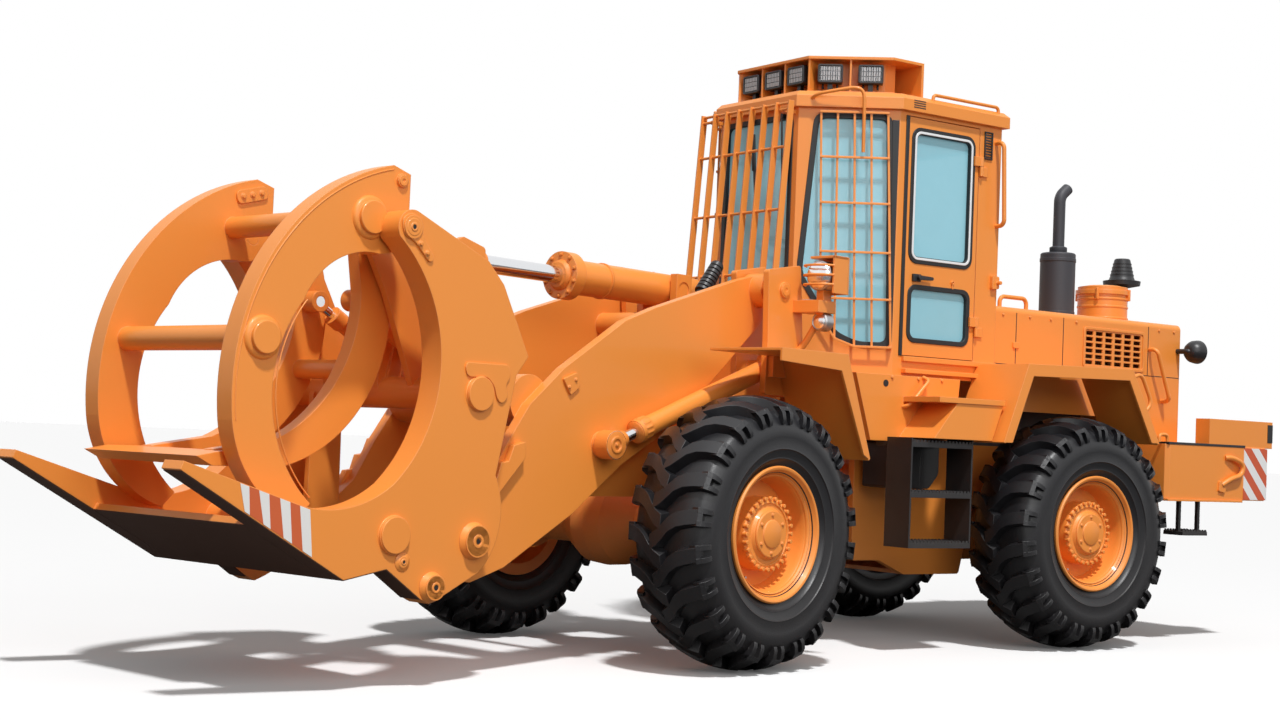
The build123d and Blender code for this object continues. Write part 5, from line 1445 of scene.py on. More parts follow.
@dataclass
class Hood:
    """Seams, grille frame, handles, exhaust and intake trim."""

    half: float = 0.750
    top: float = 2.170
    rear: float = -2.930
    seams: tuple[float, ...] = (-1.275, -1.725, -2.588)
    seam_z: Flat = (1.800, 2.135)
    seam_low: Flat = (1.796, 1.801)
    seam_half: float = 0.003
    grille_out: tuple[Flat, ...] = ((-2.548, 1.818), (-1.922, 1.818), (-1.922, 2.094), (-2.548, 2.094))
    grille_in: tuple[Flat, ...] = ((-2.530, 1.836), (-1.940, 1.836), (-1.940, 2.076), (-2.530, 2.076))
    grip: tuple[Flat, ...] = ((-1.888, 1.738), (-1.985, 1.782), (-2.100, 1.588), (-2.022, 1.522))
    grip_y: float = 1.190
    bolts_x: tuple[float, ...] = (-1.15, -1.40, -1.60, -1.85, -2.70, -2.86)
    bolts_z: float = 2.115
    latch: tuple[Flat, ...] = ((-1.300, 1.905), (-1.245, 1.905), (-1.245, 1.945), (-1.300, 1.945))
    muffler_at: Flat = (-2.100, 0.350)
    muffler_bands: Flat = (0.035, 0.400)
    # Columns: height, radius
    muffler_neck: tuple[Flat, ...] = ((0.0, 0.052), (0.012, 0.060), (0.045, 0.060), (0.052, 0.044))
    neck_foot: float = 0.445
    cleaner_at: Flat = (-2.575, 0.350)
    cleaner_r: float = 0.172
    # Columns: height, how far the band stands out
    cleaner_bands: tuple[Flat, ...] = ((0.030, 0.006), (0.110, 0.004), (0.165, 0.005))
    # Columns: height, radius
    cleaner_lid: tuple[Flat, ...] = ((0.246, 0.150), (0.256, 0.142), (0.262, 0.110), (0.262, 0.0))
    clips: tuple[float, ...] = (0.5, 2.0, 3.6, 5.1)
    clip_r: float = 0.184
    clip_half: float = 0.010
    clip_z: Flat = (0.155, 0.235)
    precleaner_at: Flat = (-2.822, 0.310)
    precleaner_ribs: int = 4
    grille_half: float = 0.540
    grille_z: Flat = (1.600, 2.090)
    louvres: int = 14
    # Columns: distance rearwards, height from the louvre's middle
    louvre: tuple[Flat, ...] = ((-0.001, 0.010), (0.014, -0.012), (0.011, -0.016), (-0.001, 0.002))

    def sides(self) -> None:
        """Build the seams, grille frames and handles on both sides."""
        for side in Side:
            s, label = side.value, side.name.lower()
            lines, frames = Shape(), Shape()
            for x in self.seams:
                lines.box((x - self.seam_half, x + self.seam_half), (s * 0.7485, s * 0.7512), self.seam_z)
            lines.box((-2.925, -1.060), (s * 0.7485, s * 0.7508), self.seam_low)
            lines.make(f"hood_seams_{label}", REAR, "rear_half", SEAL)
            outer, inner = softened(self.grille_out, 0.03), softened(self.grille_in, 0.02)
            wall = Sheet((0, s * self.half, 0), (1, 0, 0), (0, 0, 1))
            frames.rim(outer, inner, wall, -0.006 * s, -0.001 * s)
            frames.pipe([(x, s * self.grip_y, z) for x, z in self.grip], 0.013, 0.06)
            heads = [(x, s * 0.7505, self.bolts_z) for x in self.bolts_x]
            frames.bolts(heads, (0, s, 0), 0.008, 0.007)
            frames.plate(softened(self.latch, 0.008), (s * 0.748, s * 0.760))
            frames.make(f"hood_fittings_{label}", REAR, "rear_half", PAINT, 0.0015)

    def stacks(self) -> None:
        """Build bands and lids on the exhaust and the air cleaner."""
        up = (0, 0, 1)
        bands = Shape()
        for z in self.muffler_bands:
            bands.collar((*self.muffler_at, self.top + z), up, 0.1235, 0.110, 0.012)
        bands.lathe(self.muffler_neck, (*self.muffler_at, self.top + self.neck_foot), up, 32)
        bands.make("muffler_bands", REAR, "rear_half", EXHAUST, 0.002)
        drum = Shape()
        for z, grow in self.cleaner_bands:
            drum.collar((*self.cleaner_at, self.top + z), up, self.cleaner_r + grow, 0.160, 0.008, 56)
        drum.lathe(self.cleaner_lid, (*self.cleaner_at, self.top), up, 56)
        for turn in self.clips:
            x = self.cleaner_at[0] + self.clip_r * math.cos(turn)
            y = self.cleaner_at[1] + self.clip_r * math.sin(turn)
            spans = [(v - self.clip_half, v + self.clip_half) for v in (x, y)]
            drum.box(*spans, [self.top + z for z in self.clip_z])
        drum.make("air_cleaner_bands", REAR, "rear_half", PAINT, 0.003)
        ribs = Shape()
        for k in range(self.precleaner_ribs):
            spot = (*self.precleaner_at, self.top + 0.362 + 0.026 * k)
            ribs.collar(spot, up, 0.083 - 0.0058 * k, 0.06, 0.004)
        ribs.make("precleaner_ribs", REAR, "rear_half", PLASTIC)

    def radiator(self) -> None:
        """Build the louvred radiator grille in the rear wall, the painted shade behind it, and the seam of
        the lid.
        """
        wall = Sheet((self.rear, 0.0, 0.0), (0, -1, 0), (0, 0, 1))
        half, (low, high) = self.grille_half, self.grille_z
        opening = rectangle(2 * half, high - low, low)
        # A dark slab fills the opening behind the louvres as painted shade; the thin box after it is the
        # lid's dark seam.
        dark = Shape().slab(opening, wall, -0.002, 0.001)
        dark.box((self.rear + 0.010, -1.070), (-0.003, 0.003), (self.top - 0.002, self.top + 0.0012))
        dark.make("radiator_shade_and_seam", REAR, "rear_half", SEAL)
        frames = Shape()
        frames.rim(softened(grown(opening, 0.022), 0.03), softened(opening, 0.02), wall, -0.002, 0.012)
        pitch = (high - low) / self.louvres
        for k in range(self.louvres):
            z = low + pitch * (k + 0.5)
            slat = [(self.rear - back, z + rise) for back, rise in self.louvre]
            frames.plate(slat, (-half + 0.004, half - 0.004))
        for y in (-half / 3, half / 3):
            frames.box((self.rear - 0.012, self.rear + 0.001), (y - 0.008, y + 0.008), (low, high))
        frames.make("radiator_grille", REAR, "rear_half", PAINT, 0.001)

    def build(self) -> None:
        """Build all fittings of the hood."""
        self.sides()
        self.stacks()
        self.radiator()


@dataclass
class Steps:
    """Toothed treads of the ladders and the tail steps, and the battery box behind each ladder."""

    ladder_x: Flat = (-0.554, -0.061)
    ladder_y: tuple[float, ...] = (0.884, 0.950, 1.018, 1.086)
    ladder_z: tuple[float, ...] = (0.670, 0.970, 1.270)
    tail_x: Flat = (-2.878, -2.622)
    tail_y: tuple[float, ...] = (0.904, 0.980, 1.056)
    tail_z: float = 0.750
    tooth: float = 0.014
    tooth_half: float = 0.0035
    pitch: float = 0.029
    sunk: float = 0.003
    # Columns: share of the pitch, share of the tooth's height
    tooth_form: tuple[Flat, ...] = ((0.1, 0.0), (0.3, 1.0), (0.7, 1.0), (0.9, 0.0))
    case: tuple[Flat, ...] = (
        (-0.190, 0.985), (-0.190, 1.271), (-0.600, 1.271), (-0.600, 1.075), (-0.520, 0.985),
    )
    case_y: Flat = (0.520, 0.770)
    straps: tuple[float, ...] = (-0.270, -0.450)
    strap_half: float = 0.016
    strap_y: Flat = (0.510, 0.774)
    strap_z: Flat = (0.981, 1.271)

    def teeth(self, shape: Shape, x: Point, y: float, z: float) -> None:
        """Add one row of teeth along a tread.

        Args:
            shape: the mesh to add to.
            x: where the row starts and ends.
            y: the middle of the row.
            z: the top of the tread.
        """
        count = round((x[1] - x[0]) / self.pitch)
        step = (x[1] - x[0]) / count
        outline = [(x[1], z - self.sunk), (x[0], z - self.sunk)]
        for k in range(count):
            left = x[0] + step * k
            outline.extend((left + step * along, z + self.tooth * high) for along, high in self.tooth_form)
        shape.plate(outline, (y - self.tooth_half, y + self.tooth_half))

    def build(self) -> None:
        """Build the treads and boxes of both sides."""
        for side in Side:
            s, label = side.value, side.name.lower()
            treads = Shape()
            for z in self.ladder_z:
                for y in self.ladder_y:
                    self.teeth(treads, self.ladder_x, s * y, z)
            for y in self.tail_y:
                self.teeth(treads, self.tail_x, s * y, self.tail_z)
            treads.make(f"step_teeth_{label}", REAR, "rear_half", BLACK)
            case = Shape().plate(softened(self.case, 0.02), [s * y for y in self.case_y])
            for x in self.straps:
                across = [s * y for y in self.strap_y]
                case.box((x - self.strap_half, x + self.strap_half), across, self.strap_z)
            case.make(f"battery_box_{label}", REAR, "rear_half", BLACK, 0.004)


@dataclass
class RearEnd:
    """Stripes, tread strip, slots painted as dark shade, and lamps at the rear."""

    weight_rear: float = -3.465
    weight_half: float = 1.100
    top: float = 1.335
    low: float = 0.970
    panel_front: float = -3.205
    strip_x: Flat = (-3.215, -2.395)
    strip_wide: float = 0.120
    slot: tuple[Flat, ...] = ((-3.5265, -3.470), (1.0935, 1.0975), (1.375, 1.500))
    lip_x: Flat = (-3.190, -2.392)
    lip_wide: float = 0.050
    # Columns: x, z
    loop: tuple[Flat, ...] = ((-2.420, 1.330), (-2.420, 1.395), (-2.335, 1.395), (-2.335, 1.345))
    loop_in: float = 0.03
    hook: tuple[Solid, ...] = (
        (-3.000, 1.100, 1.258), (-3.045, 1.124, 1.262), (-3.170, 1.126, 1.222), (-3.150, 1.126, 1.140),
        (-3.040, 1.126, 1.120), (-2.965, 1.104, 1.070),
    )
    hook_pad: tuple[Flat, ...] = ((-2.995, 1.018), (-2.925, 1.030), (-2.935, 1.100), (-3.005, 1.092))
    lamp_at: Solid = (-2.900, 0.845, 1.985)
    lamp_foot: float = 0.746
    lamp_neck: float = -2.920
    # Columns: distance along the lamp, radius
    lamp_bowl: tuple[Flat, ...] = (
        (0.0, 0.016), (0.004, 0.036), (0.022, 0.060), (0.052, 0.076), (0.088, 0.081), (0.102, 0.082),
        (0.104, 0.074), (0.092, 0.072),
    )
    lamp_lens: tuple[Flat, ...] = ((0.094, 0.070), (0.100, 0.068), (0.106, 0.040), (0.108, 0.0))

    def weight(self, side: Side) -> None:
        """Build the panel, strip, slot, lip and hook on one side of the weight.

        Args:
            side: the side.
        """
        s, label = side.value, side.name.lower()
        y = s * self.weight_half
        panel_x = (self.weight_rear + 0.002, self.panel_front)
        panel_z = (self.low + 0.006, self.top - 0.004)
        panel = Shape().box(panel_x, (y - s * 0.002, y + s * 0.003), panel_z)
        panel.make(f"hazard_panel_{label}", REAR, "rear_half", HAZARD)
        strip_y, strip_z = (y - s * self.strip_wide, y + s * 0.004), (self.top - 0.002, self.top + 0.014)
        strip = Shape().box(self.strip_x, strip_y, strip_z)
        strip.make(f"tread_strip_{label}", REAR, "rear_half", TREAD_PLATE, 0.002)
        # A thin near-black box on the weight's side: painted shade of a slot.
        slot_x, slot_y, slot_z = self.slot
        slot = Shape().box(slot_x, [s * v for v in slot_y], slot_z)
        slot.make(f"tail_slot_shade_{label}", REAR, "rear_half", SEAL)
        lip_y, lip_z = (y - s * self.lip_wide, y + s * 0.010), (self.low - 0.014, self.low + 0.001)
        lip = Shape().box(self.lip_x, lip_y, lip_z)
        lip.pipe([(x, y - s * self.loop_in, z) for x, z in self.loop], 0.012, 0.03)
        lip.pipe([(x, s * across, z) for x, across, z in self.hook], 0.018, 0.07)
        lip.plate(softened(self.hook_pad, 0.01), (y - s * 0.001, y + s * 0.014))
        lip.make(f"weight_lip_{label}", REAR, "rear_half", PAINT, 0.003)

    def build(self) -> None:
        """Build both sides of the rear."""
        bowls = Shape()
        for side in Side:
            self.weight(side)
            x, y, z = self.lamp_at[0], side.value * self.lamp_at[1], self.lamp_at[2]
            lens = Shape().lathe(self.lamp_lens, (x, y, z), (-1, 0, 0))
            lens.make(f"rear_lamp_lens_{side.name.lower()}", REAR, "rear_half", LENS)
            bowls.lathe(self.lamp_bowl, (x, y, z), (-1, 0, 0))
            foot = (x, side.value * self.lamp_foot, z)
            bowls.pipe((foot, (x, y, z), (self.lamp_neck, y, z)), 0.018, 0.02)
        piece = bowls.make("rear_lamp_bowls", REAR, "rear_half", BLACK, 0.002)
        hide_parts("rear_lamps")


@dataclass
class Grapple:
    """Stripes, plates, rings and edges on jaw and clamp, and dark sheets of painted shade under the jaw."""

    jaw_out: float = 0.750
    jaw_in: float = 0.610
    claw_out: float = 0.590
    claw_in: float = 0.480
    # Columns: x of each bar's two upper corners, then of its two lower corners
    bars: tuple[tuple[float, ...], ...] = (
        (4.652, 4.699, 4.642, 4.669), (4.546, 4.600, 4.530, 4.568), (4.432, 4.487, 4.412, 4.458),
        (4.322, 4.378, 4.300, 4.352),
    )
    bar_out: float = 0.0020
    band_out: float = 0.0010
    # Columns: x, z of both ends of the tine's edges
    tine_low: tuple[Flat, Flat] = ((4.117, 0.529), (5.000, 1.010))
    tine_high: tuple[Flat, Flat] = ((4.388, 0.868), (4.985, 1.046))
    bracket: tuple[Flat, ...] = (
        (3.445, 1.548), (3.445, 1.505), (3.425, 1.478), (3.300, 1.482), (3.255, 1.440), (3.235, 1.380),
        (3.200, 1.355), (3.160, 1.395), (3.182, 1.450), (3.150, 1.490), (3.165, 1.548),
    )
    bracket_out: float = 0.009
    keeper: tuple[Flat, ...] = (
        (3.672, 2.020), (3.700, 1.992), (3.790, 2.080), (3.870, 2.120), (3.880, 2.190), (3.820, 2.222),
        (3.766, 2.180), (3.745, 2.105),
    )
    keeper_out: float = 0.010
    keeper_bolts: tuple[Flat, ...] = ((3.722, 2.038), (3.765, 2.078))
    # Columns: x, z, radius
    discs: tuple[Solid, ...] = ((3.346, 1.400, 0.082), (3.838, 0.728, 0.086))
    # Columns: distance out, what the radius grows by
    disc_form: tuple[Flat, ...] = (
        (-0.002, 0.008), (0.004, 0.005), (0.006, 0.0), (0.020, 0.0), (0.022, -0.002),
    )
    disc_face: float = 0.022
    # Columns: x, z, radius, distance of the face
    pins: tuple[tuple[float, ...], ...] = (
        (3.341, 0.696, 0.082, 0.036), (3.596, 0.483, 0.064, 0.036), (3.814, 2.151, 0.050, 0.018),
        (3.779, 0.604, 0.036, 0.012),
    )
    pin_ring: Flat = (0.40, 0.22)
    # Outlines of the dark sheets of painted shade under each tine and under the jaw floor.
    under: tuple[Flat, ...] = (
        (4.117, 0.529), (4.990, 1.0045), (4.990, 1.0005), (4.117, 0.525), (3.872, 0.569), (3.662, 0.426),
        (3.660, 0.430), (3.870, 0.573),
    )
    floor_under: tuple[Flat, ...] = (
        (3.870, 0.573), (4.117, 0.529), (4.560, 0.771), (4.560, 0.767), (4.117, 0.525), (3.870, 0.569),
    )
    floor_half: float = 0.608
    # Columns: x, z of the start, a point between and the end of each of the claw's edges
    claw_edges: tuple[tuple[Flat, Flat, Flat], ...] = (
        ((3.805, 2.432), (4.484, 1.918), (4.624, 1.223)),
        ((4.270, 1.780), (4.408, 1.250), (4.205, 0.890)),
    )
    # Columns: x, z, radius
    tube_caps: tuple[Solid, ...] = ((3.935, 2.190, 0.078), (4.505, 1.594, 0.074))
    # Columns: distance out, what the radius grows by
    cap_form: tuple[Flat, ...] = (
        (-0.002, 0.026), (0.010, 0.022), (0.016, 0.014), (0.018, 0.0), (0.034, 0.0), (0.037, -0.003),
    )
    cap_face: float = 0.037
    claw_ring: Flat = (3.755, 2.385)
    stop: tuple[Flat, ...] = ((3.736, 2.360), (3.921, 2.311), (3.939, 2.377), (3.754, 2.426))
    stop_thick: float = 0.012
    stop_bolts: tuple[Flat, ...] = ((3.783, 2.383), (3.838, 2.368), (3.893, 2.354))

    @staticmethod
    def height(edge: tuple[Flat, Flat], x: float) -> float:
        """Return the height of a straight edge at x."""
        (start, low), (end, high) = edge
        return low + (x - start) * (high - low) / (end - start)

    def stripes(self, side: Side) -> None:
        """Build the bars and the band on one tine.

        Args:
            side: the side.
        """
        s, label = side.value, side.name.lower()
        white, red = Shape(), Shape()
        near, far = self.bars[-1], self.bars[0]
        band = (near[0], far[1], near[2], far[3])
        for shape, bars, out in ((white, self.bars, self.bar_out), (red, (band,), self.band_out)):
            for top_near, top_far, low_near, low_far in bars:
                lower = [(x, self.height(self.tine_low, x) + 0.006) for x in (low_near, low_far)]
                upper = [(x, self.height(self.tine_high, x) - 0.004) for x in (top_far, top_near)]
                shape.plate(lower + upper, (s * (self.jaw_out - 0.001), s * (self.jaw_out + out)))
        white.make(f"tine_bars_{label}", FRONT, "jaw", WHITE)
        red.make(f"tine_band_{label}", FRONT, "jaw", STRIPE_RED)

    def plates(self, side: Side) -> None:
        """Build the plates, discs and pin heads on one side of the jaw, with painted shade for the pins'
        holes.

        Args:
            side: the side.
        """
        s, label, out = side.value, side.name.lower(), (0, side.value, 0)
        raised, holes = Shape(), Shape()
        foot = s * (self.jaw_out - 0.001)
        raised.plate(softened(self.bracket, 0.022), (foot, s * (self.jaw_out + self.bracket_out)))
        for x, z, radius in self.discs:
            disc = [(along, radius + more) for along, more in self.disc_form] + [(self.disc_face, 0.0)]
            raised.lathe(disc, (x, s * self.jaw_out, z), out, 56)
        face = s * (self.jaw_out + self.keeper_out)
        raised.plate(softened(self.keeper, 0.028), (foot, face))
        raised.bolts([(x, face, z) for x, z in self.keeper_bolts], out, 0.010, 0.010)
        for x, z, radius, high in self.pins:
            head = ((0.0, radius + 0.010), (0.004, radius + 0.006), (high - 0.006, radius - 0.004))
            raised.lathe((*head, (high, radius - 0.010), (high, 0.0)), (x, s * self.jaw_out, z), out)
            wide, narrow = (radius * share for share in self.pin_ring)
            raised.collar((x, s * (self.jaw_out + high), z), (0, 1, 0), wide, narrow, 0.003)
            # A near-black disc in each pin head: painted shade of its hole.
            holes.collar((x, s * (self.jaw_out + high + 0.0003), z), (0, 1, 0), 0.012, 0.0005, 0.001)
        raised.make(f"jaw_plates_{label}", FRONT, "jaw", PAINT, 0.002)
        holes.make(f"jaw_pin_hole_shades_{label}", FRONT, "jaw", PAINTED_HOLE_SHADE)

    def jaw(self) -> None:
        """Build what lies on the jaw, and dark sheets of painted shade under the tines and the floor."""
        for side in Side:
            self.stripes(side)
            self.plates(side)
            across = [side.value * y for y in (self.jaw_in + 0.001, self.jaw_out - 0.001)]
            # Dark sheets of painted shade on the undersides of the tines.
            dark = Shape().plate(self.under, across)
            dark.make(f"jaw_painted_shade_{side.name.lower()}", FRONT, "jaw", SHADE)
        # Dark sheet of painted shade under the jaw floor.
        floor = Shape().plate(self.floor_under, (-self.floor_half, self.floor_half))
        floor.make("jaw_floor_painted_shade", FRONT, "jaw", SHADE)

    def clamp(self) -> None:
        """Build the edge beads, tube caps and stops of both claws."""
        for side in Side:
            s, label = side.value, side.name.lower()
            beads = Shape()
            for start, through, end in self.claw_edges:
                path = [(p.x, s * self.claw_out, p.y) for p in arc(start, through, end, 40)]
                beads.pipe(path, 0.0035, sides=8)
            for x, z, radius in self.tube_caps:
                cap = [(along, radius + more) for along, more in self.cap_form] + [(self.cap_face, 0.0)]
                beads.lathe(cap, (x, s * self.claw_out, z), (0, s, 0), 56)
            x, z = self.claw_ring
            beads.collar((x, s * (self.claw_out + 0.014), z), (0, 1, 0), 0.026, 0.008, 0.004)
            face = s * (self.claw_in - self.stop_thick)
            beads.plate(softened(self.stop, 0.032), (face, s * (self.claw_in + 0.001)))
            beads.bolts([(x, face, z) for x, z in self.stop_bolts], (0, -s, 0), 0.011, 0.010)
            beads.make(f"claw_beads_{label}", FRONT, "clamp", PAINT)

    def build(self) -> None:
        """Build all fittings of the grapple."""
        self.jaw()
        self.clamp()


@dataclass
class Boom:
    """Brackets and bolts on the boom arms, and dark bellows over its hoses."""

    arm_out: float = 0.540
    tower_out: float = 0.720
    hook: tuple[Flat, ...] = (
        (2.850, 1.100), (2.960, 0.985), (3.080, 0.862), (3.135, 0.905), (3.095, 0.985), (3.045, 0.992),
        (3.018, 1.070), (2.968, 1.078), (2.935, 1.158), (2.856, 1.178),
    )
    hook_thick: float = 0.040
    patch: tuple[Flat, ...] = ((2.452, 1.478), (2.520, 1.428), (2.580, 1.512), (2.478, 1.550))
    patch_thick: float = 0.014
    patch_bolts: tuple[Flat, ...] = ((2.490, 1.510), (2.535, 1.470))
    tower_ring: Flat = (0.985, 2.107)
    tower_bolts: tuple[Flat, ...] = ((0.930, 1.700), (0.975, 1.640))
    bellows_foot: Solid = (1.150, 0.200, 2.030)
    bellows_tip: Solid = (0.970, 0.200, 2.275)
    folds: int = 8
    fold_start: float = 0.30
    fold_pitch: float = 0.09
    fold_r: float = 0.050
    fold_taper: float = 0.0012

    def build(self) -> None:
        """Build both arms' fittings and the bellows."""
        for side in Side:
            s, label = side.value, side.name.lower()
            arm, face = s * self.arm_out, s * (self.arm_out + self.patch_thick)
            arms = Shape().plate(self.hook, (arm, s * (self.arm_out + self.hook_thick)))
            arms.plate(softened(self.patch, 0.012), (arm, face))
            arms.bolts([(x, face, z) for x, z in self.patch_bolts], (0, s, 0), 0.008, 0.008)
            arms.make(f"arm_brackets_{label}", FRONT, "boom", PAINT, 0.003)
            x, z = self.tower_ring
            tower = Shape().collar((x, s * (self.tower_out + 0.013), z), (0, 1, 0), 0.036, 0.010, 0.004)
            heads = [(x, s * self.tower_out, z) for x, z in self.tower_bolts]
            tower.bolts(heads, (0, s, 0), 0.013, 0.012)
            tower.make(f"tower_caps_{label}", FRONT, "front_half", PAINT, 0.002)
        bellows = Shape()
        foot, tip = Vector(self.bellows_foot), Vector(self.bellows_tip)
        way = tip - foot
        for k in range(self.folds):
            spot = foot + way * (self.fold_start + self.fold_pitch * k)
            bellows.collar(spot, way, self.fold_r - self.fold_taper * k, 0.030, 0.011, 24)
        bellows.rod(foot, tip, 0.036)
        bellows.make("hose_bellows", FRONT, "boom", PLASTIC, 0.003)


@dataclass
class Cylinders:
    """Glands, rod eye sleeves and flange bolts of the cylinders."""

    lift_base: Flat = (0.950, 1.671)
    lift_eye: Flat = (2.270, 1.180)
    lift_y: float = 0.610
    lift_barrel: float = 1.200
    # Columns: distance along the axis, radius
    gland: tuple[Flat, ...] = (
        (-0.090, 0.060), (-0.086, 0.0655), (-0.016, 0.0655), (0.004, 0.058), (0.012, 0.040), (0.012, 0.033),
    )
    gland_teeth: int = 14
    gland_r: float = 0.060
    tooth_span: Flat = (0.076, 0.026)
    tooth_r: float = 0.0085
    lift_sleeve: tuple[Flat, ...] = (
        (-0.0495, 0.070), (-0.046, 0.077), (0.046, 0.077), (0.0495, 0.070), (0.0495, 0.0),
    )
    sleeve_half: float = 0.0495
    lift_neck: tuple[Flat, ...] = ((0.0, 0.034), (0.012, 0.044), (0.050, 0.050), (0.060, 0.050))
    lift_neck_back: float = 0.115
    tilt_base: Flat = (1.215, 2.100)
    tilt_eye: Flat = (2.820, 2.120)
    tilt_front: float = 0.875
    tilt_bolts: int = 10
    tilt_bolt_r: float = 0.116
    tilt_gland: tuple[Flat, ...] = ((0.0, 0.088), (0.010, 0.084), (0.024, 0.070), (0.024, 0.050))
    tilt_bands: Flat = (0.095, 0.330)
    tilt_neck: tuple[Flat, ...] = ((0.0, 0.052), (0.014, 0.066), (0.060, 0.070), (0.070, 0.070))
    tilt_neck_back: float = 0.140
    push_eye: Flat = (3.653, 1.835)
    push_y: float = 0.150

    def lift(self) -> None:
        """Build glands and sleeves of the lift cylinders."""
        base, eye = Vector(self.lift_base), Vector(self.lift_eye)
        way = (eye - base).normalized()
        end = base + way * self.lift_barrel
        axis = Vector((way.x, 0.0, way.y))
        glands, sleeves = Shape(), Shape()
        for side in Side:
            s, y = side.value, side.value * self.lift_y
            spot = Vector((end.x, y, end.y))
            glands.lathe(self.gland, spot, axis, 40)
            for tooth in ring(spot, axis, self.gland_r, self.gland_teeth):
                ends = [tooth - axis * back for back in self.tooth_span]
                glands.rod(*ends, self.tooth_r, sides=8)
            sleeves.lathe(self.lift_sleeve, (eye.x, y, eye.y), (0, 1, 0))
            sleeves.collar((eye.x, y + s * 0.0500, eye.y), (0, 1, 0), 0.044, 0.030, 0.005)
            sleeves.bolts(((eye.x, y + s * self.sleeve_half, eye.y),), (0, s, 0), 0.010, 0.008)
            neck = Vector((eye.x, y, eye.y)) - axis * self.lift_neck_back
            sleeves.lathe(self.lift_neck, neck, axis, 32)
        glands.make("lift_glands", FRONT, "lift_barrels", CAST_PAINT, 0.0015)
        sleeves.make("lift_eyes", FRONT, "lift_rods", CAST_PAINT, 0.002)

    def tilt(self) -> None:
        """Build flange bolts and the eye sleeve of the tilt cylinder."""
        base, eye = Vector(self.tilt_base), Vector(self.tilt_eye)
        way = (eye - base).normalized()
        axis = Vector((way.x, 0.0, way.y))
        face = Vector((base.x, 0.0, base.y)) + axis * self.tilt_front
        flange = Shape().bolts(ring(face, axis, self.tilt_bolt_r, self.tilt_bolts), axis, 0.010, 0.012)
        flange.lathe(self.tilt_gland, face, axis, 40)
        for back in self.tilt_bands:
            flange.collar(face - axis * back, axis, 0.104, 0.090, 0.008)
        flange.make("tilt_flange", FRONT, "tilt_barrel", CAST_PAINT, 0.001)
        sleeve = Shape().collar((eye.x, 0.0, eye.y), (0, 1, 0), 0.0870, 0.040, self.sleeve_half)
        neck = Vector((eye.x, 0.0, eye.y)) - axis * self.tilt_neck_back
        sleeve.lathe(self.tilt_neck, neck, axis, 32)
        sleeve.make("tilt_eye", FRONT, "tilt_rod", CAST_PAINT, 0.002)

    def push(self) -> None:
        """Build the eye sleeves of the pusher cylinders."""
        sleeves = Shape()
        x, z = self.push_eye
        for side in Side:
            sleeves.collar((x, side.value * self.push_y, z), (0, 1, 0), 0.0540, 0.026, 0.0392)
        sleeves.make("pusher_eyes", FRONT, "pusher_rods", CAST_PAINT, 0.002)

    def build(self) -> None:
        """Build all fittings of the cylinders."""
        self.lift()
        self.tilt()
        self.push()


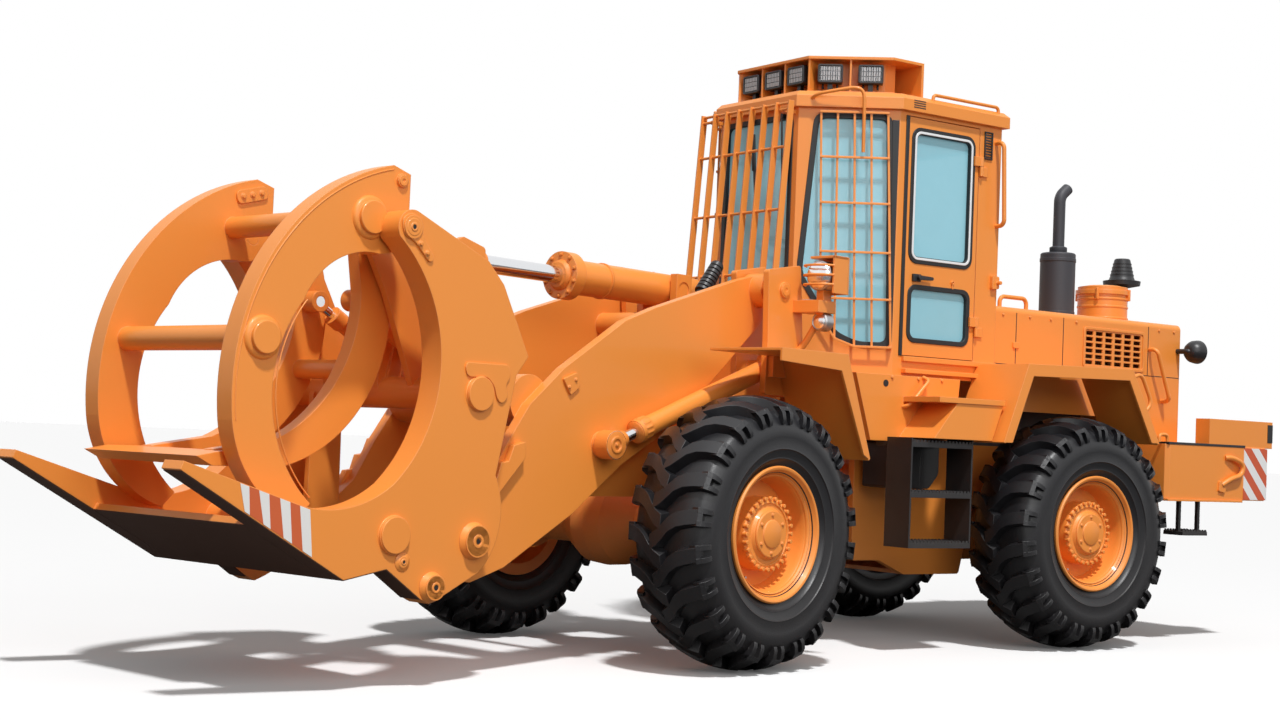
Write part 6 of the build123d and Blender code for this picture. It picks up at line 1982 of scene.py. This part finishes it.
@dataclass
class Studio:
    """Camera, light and floor."""

    place: Solid = (7.042, 8.910, 1.207)
    yaw: float = -125.93
    pitch: float = 2.46
    roll: float = 2.4
    focal_px: float = 1881.0
    image_width: float = 1280.0
    sensor: float = 36.0
    sun_energy: float = 3.0
    sun_spread: float = 4.0
    sun_way: Solid = (-0.20, -0.52, -1.0)
    panel_energy: float = 340.0
    panel_size: Flat = (9.0, 5.0)
    panel_at: Solid = (2.5, 9.5, 5.5)
    panel_aim: Solid = (-0.5, 0.0, 1.4)
    sky_unseen: float = 0.23
    sky_seen: float = 1.0
    floor_reach: float = 300.0
    floor_unseen: Colour = (0.17, 0.17, 0.17)
    floor_seen: Colour = (0.84, 0.84, 0.84)
    floor_glow: float = 0.05

    def camera(self) -> None:
        """Set the camera where the photograph was taken from."""
        yaw, pitch, roll = (math.radians(a) for a in (self.yaw, self.pitch, self.roll))
        ahead = Vector((math.cos(pitch) * math.cos(yaw), math.cos(pitch) * math.sin(yaw), math.sin(pitch)))
        level = Vector((math.sin(yaw), -math.cos(yaw), 0.0))
        above = level.cross(ahead)
        right = level * math.cos(roll) + above * math.sin(roll)
        up = above * math.cos(roll) - level * math.sin(roll)
        data = bpy.data.cameras.new("photo_camera")
        data.sensor_width = self.sensor
        data.lens = self.sensor * self.focal_px / self.image_width
        camera = bpy.data.objects.new("photo_camera", data)
        turn = Matrix((right, up, -ahead)).transposed().to_4x4()
        camera.matrix_world = Matrix.Translation(self.place) @ turn
        bpy.context.scene.collection.objects.link(camera)
        bpy.context.scene.camera = camera

    def lights(self) -> None:
        """Add a soft high sun and a wide panel beside the camera."""
        sun = bpy.data.lights.new("soft_sun", "SUN")
        sun.energy = self.sun_energy
        sun.angle = math.radians(self.sun_spread)
        lamp = bpy.data.objects.new("soft_sun", sun)
        lamp.rotation_euler = Vector(self.sun_way).to_track_quat("-Z", "Y").to_euler()
        bpy.context.scene.collection.objects.link(lamp)
        panel = bpy.data.lights.new("side_panel", "AREA")
        panel.energy = self.panel_energy
        panel.shape = "RECTANGLE"
        panel.size, panel.size_y = self.panel_size
        board = bpy.data.objects.new("side_panel", panel)
        board.location = self.panel_at
        way = Vector(self.panel_aim) - Vector(self.panel_at)
        board.rotation_euler = way.to_track_quat("-Z", "Y").to_euler()
        bpy.context.scene.collection.objects.link(board)

    def world(self) -> None:
        """Light the scene with a pale sky that the camera sees as white."""
        world = bpy.data.worlds.new("white_studio")
        world.use_nodes = True
        bpy.context.scene.world = world
        build = Nodes(world.node_tree)
        path = build.add("LightPath").outputs
        direct = build.math("ADD", path["Is Camera Ray"], path["Is Glossy Ray"])
        seen = build.math("ADD", direct, path["Is Transmission Ray"])
        levels = {"Value": seen, "To Min": self.sky_unseen, "To Max": self.sky_seen}
        strength = build.add("MapRange", levels).outputs[0]
        back = world.node_tree.nodes["Background"]
        back.inputs["Color"].default_value = (1.0, 1.0, 1.0, 1.0)
        build.tree.links.new(strength, back.inputs["Strength"])

    def floor(self) -> None:
        """Lay a pale floor that keeps the machine's shadow."""
        reach = self.floor_reach
        mesh = bpy.data.meshes.new("studio_floor")
        corners = [(-reach, -reach, 0), (reach, -reach, 0), (reach, reach, 0), (-reach, reach, 0)]
        mesh.from_pydata(corners, [], [(0, 1, 2, 3)])
        material = bpy.data.materials.new("studio_floor")
        material.use_nodes = True
        build = Nodes(material.node_tree)
        seen = build.add("LightPath").outputs["Is Camera Ray"]
        tone = build.mix(seen, (*self.floor_unseen, 1.0), (*self.floor_seen, 1.0))
        matt = build.add("BsdfDiffuse", {"Color": tone})
        glow = build.add("Emission", {"Strength": build.math("MULTIPLY", seen, self.floor_glow)})
        both = build.add("AddShader", {0: matt.outputs[0], 1: glow.outputs[0]})
        end = material.node_tree.nodes["Material Output"]
        build.tree.links.new(both.outputs[0], end.inputs["Surface"])
        mesh.materials.append(material)
        floor = bpy.data.objects.new("studio_floor", mesh)
        bpy.context.scene.collection.objects.link(floor)

    def build(self) -> None:
        """Build the whole studio."""
        bpy.context.scene.view_settings.view_transform = "Standard"
        self.camera()
        self.lights()
        self.world()
        self.floor()


def dress_nodes() -> None:
    """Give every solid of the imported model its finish."""
    for name, node in frame["nodes"].items():
        finish = NODE_FINISHES.get(name, RUBBER if name.startswith("tyre") else PAINT)
        node.data.materials.clear()
        node.data.materials.append(finish.material())
        LOG.info("%s in %s", name, finish.name)


def main() -> None:
    """Build the studio and all fittings in order."""
    logging.basicConfig(level=logging.INFO, format="%(message)s")
    Studio().build()
    dress_nodes()
    # Columns: suffix, half, x of the axle, side
    wheels = (
        ("front_left", FRONT, 1.573, Side.LEFT),
        ("front_right", FRONT, 1.573, Side.RIGHT),
        ("rear_left", REAR, -1.573, Side.LEFT),
        ("rear_right", REAR, -1.573, Side.RIGHT),
    )
    for suffix, half, axle_x, side in wheels:
        Tyre(suffix, half, axle_x, side).build()
        WheelTrim(suffix, half, axle_x, side).build()
    Cab().build()
    Seat().build()
    RoofLamps().build()
    for side in Side:
        HeadLamps(side).build()
    Hood().build()
    Steps().build()
    RearEnd().build()
    Boom().build()
    Grapple().build()
    Cylinders().build()


if __name__ == "__main__":
    main()
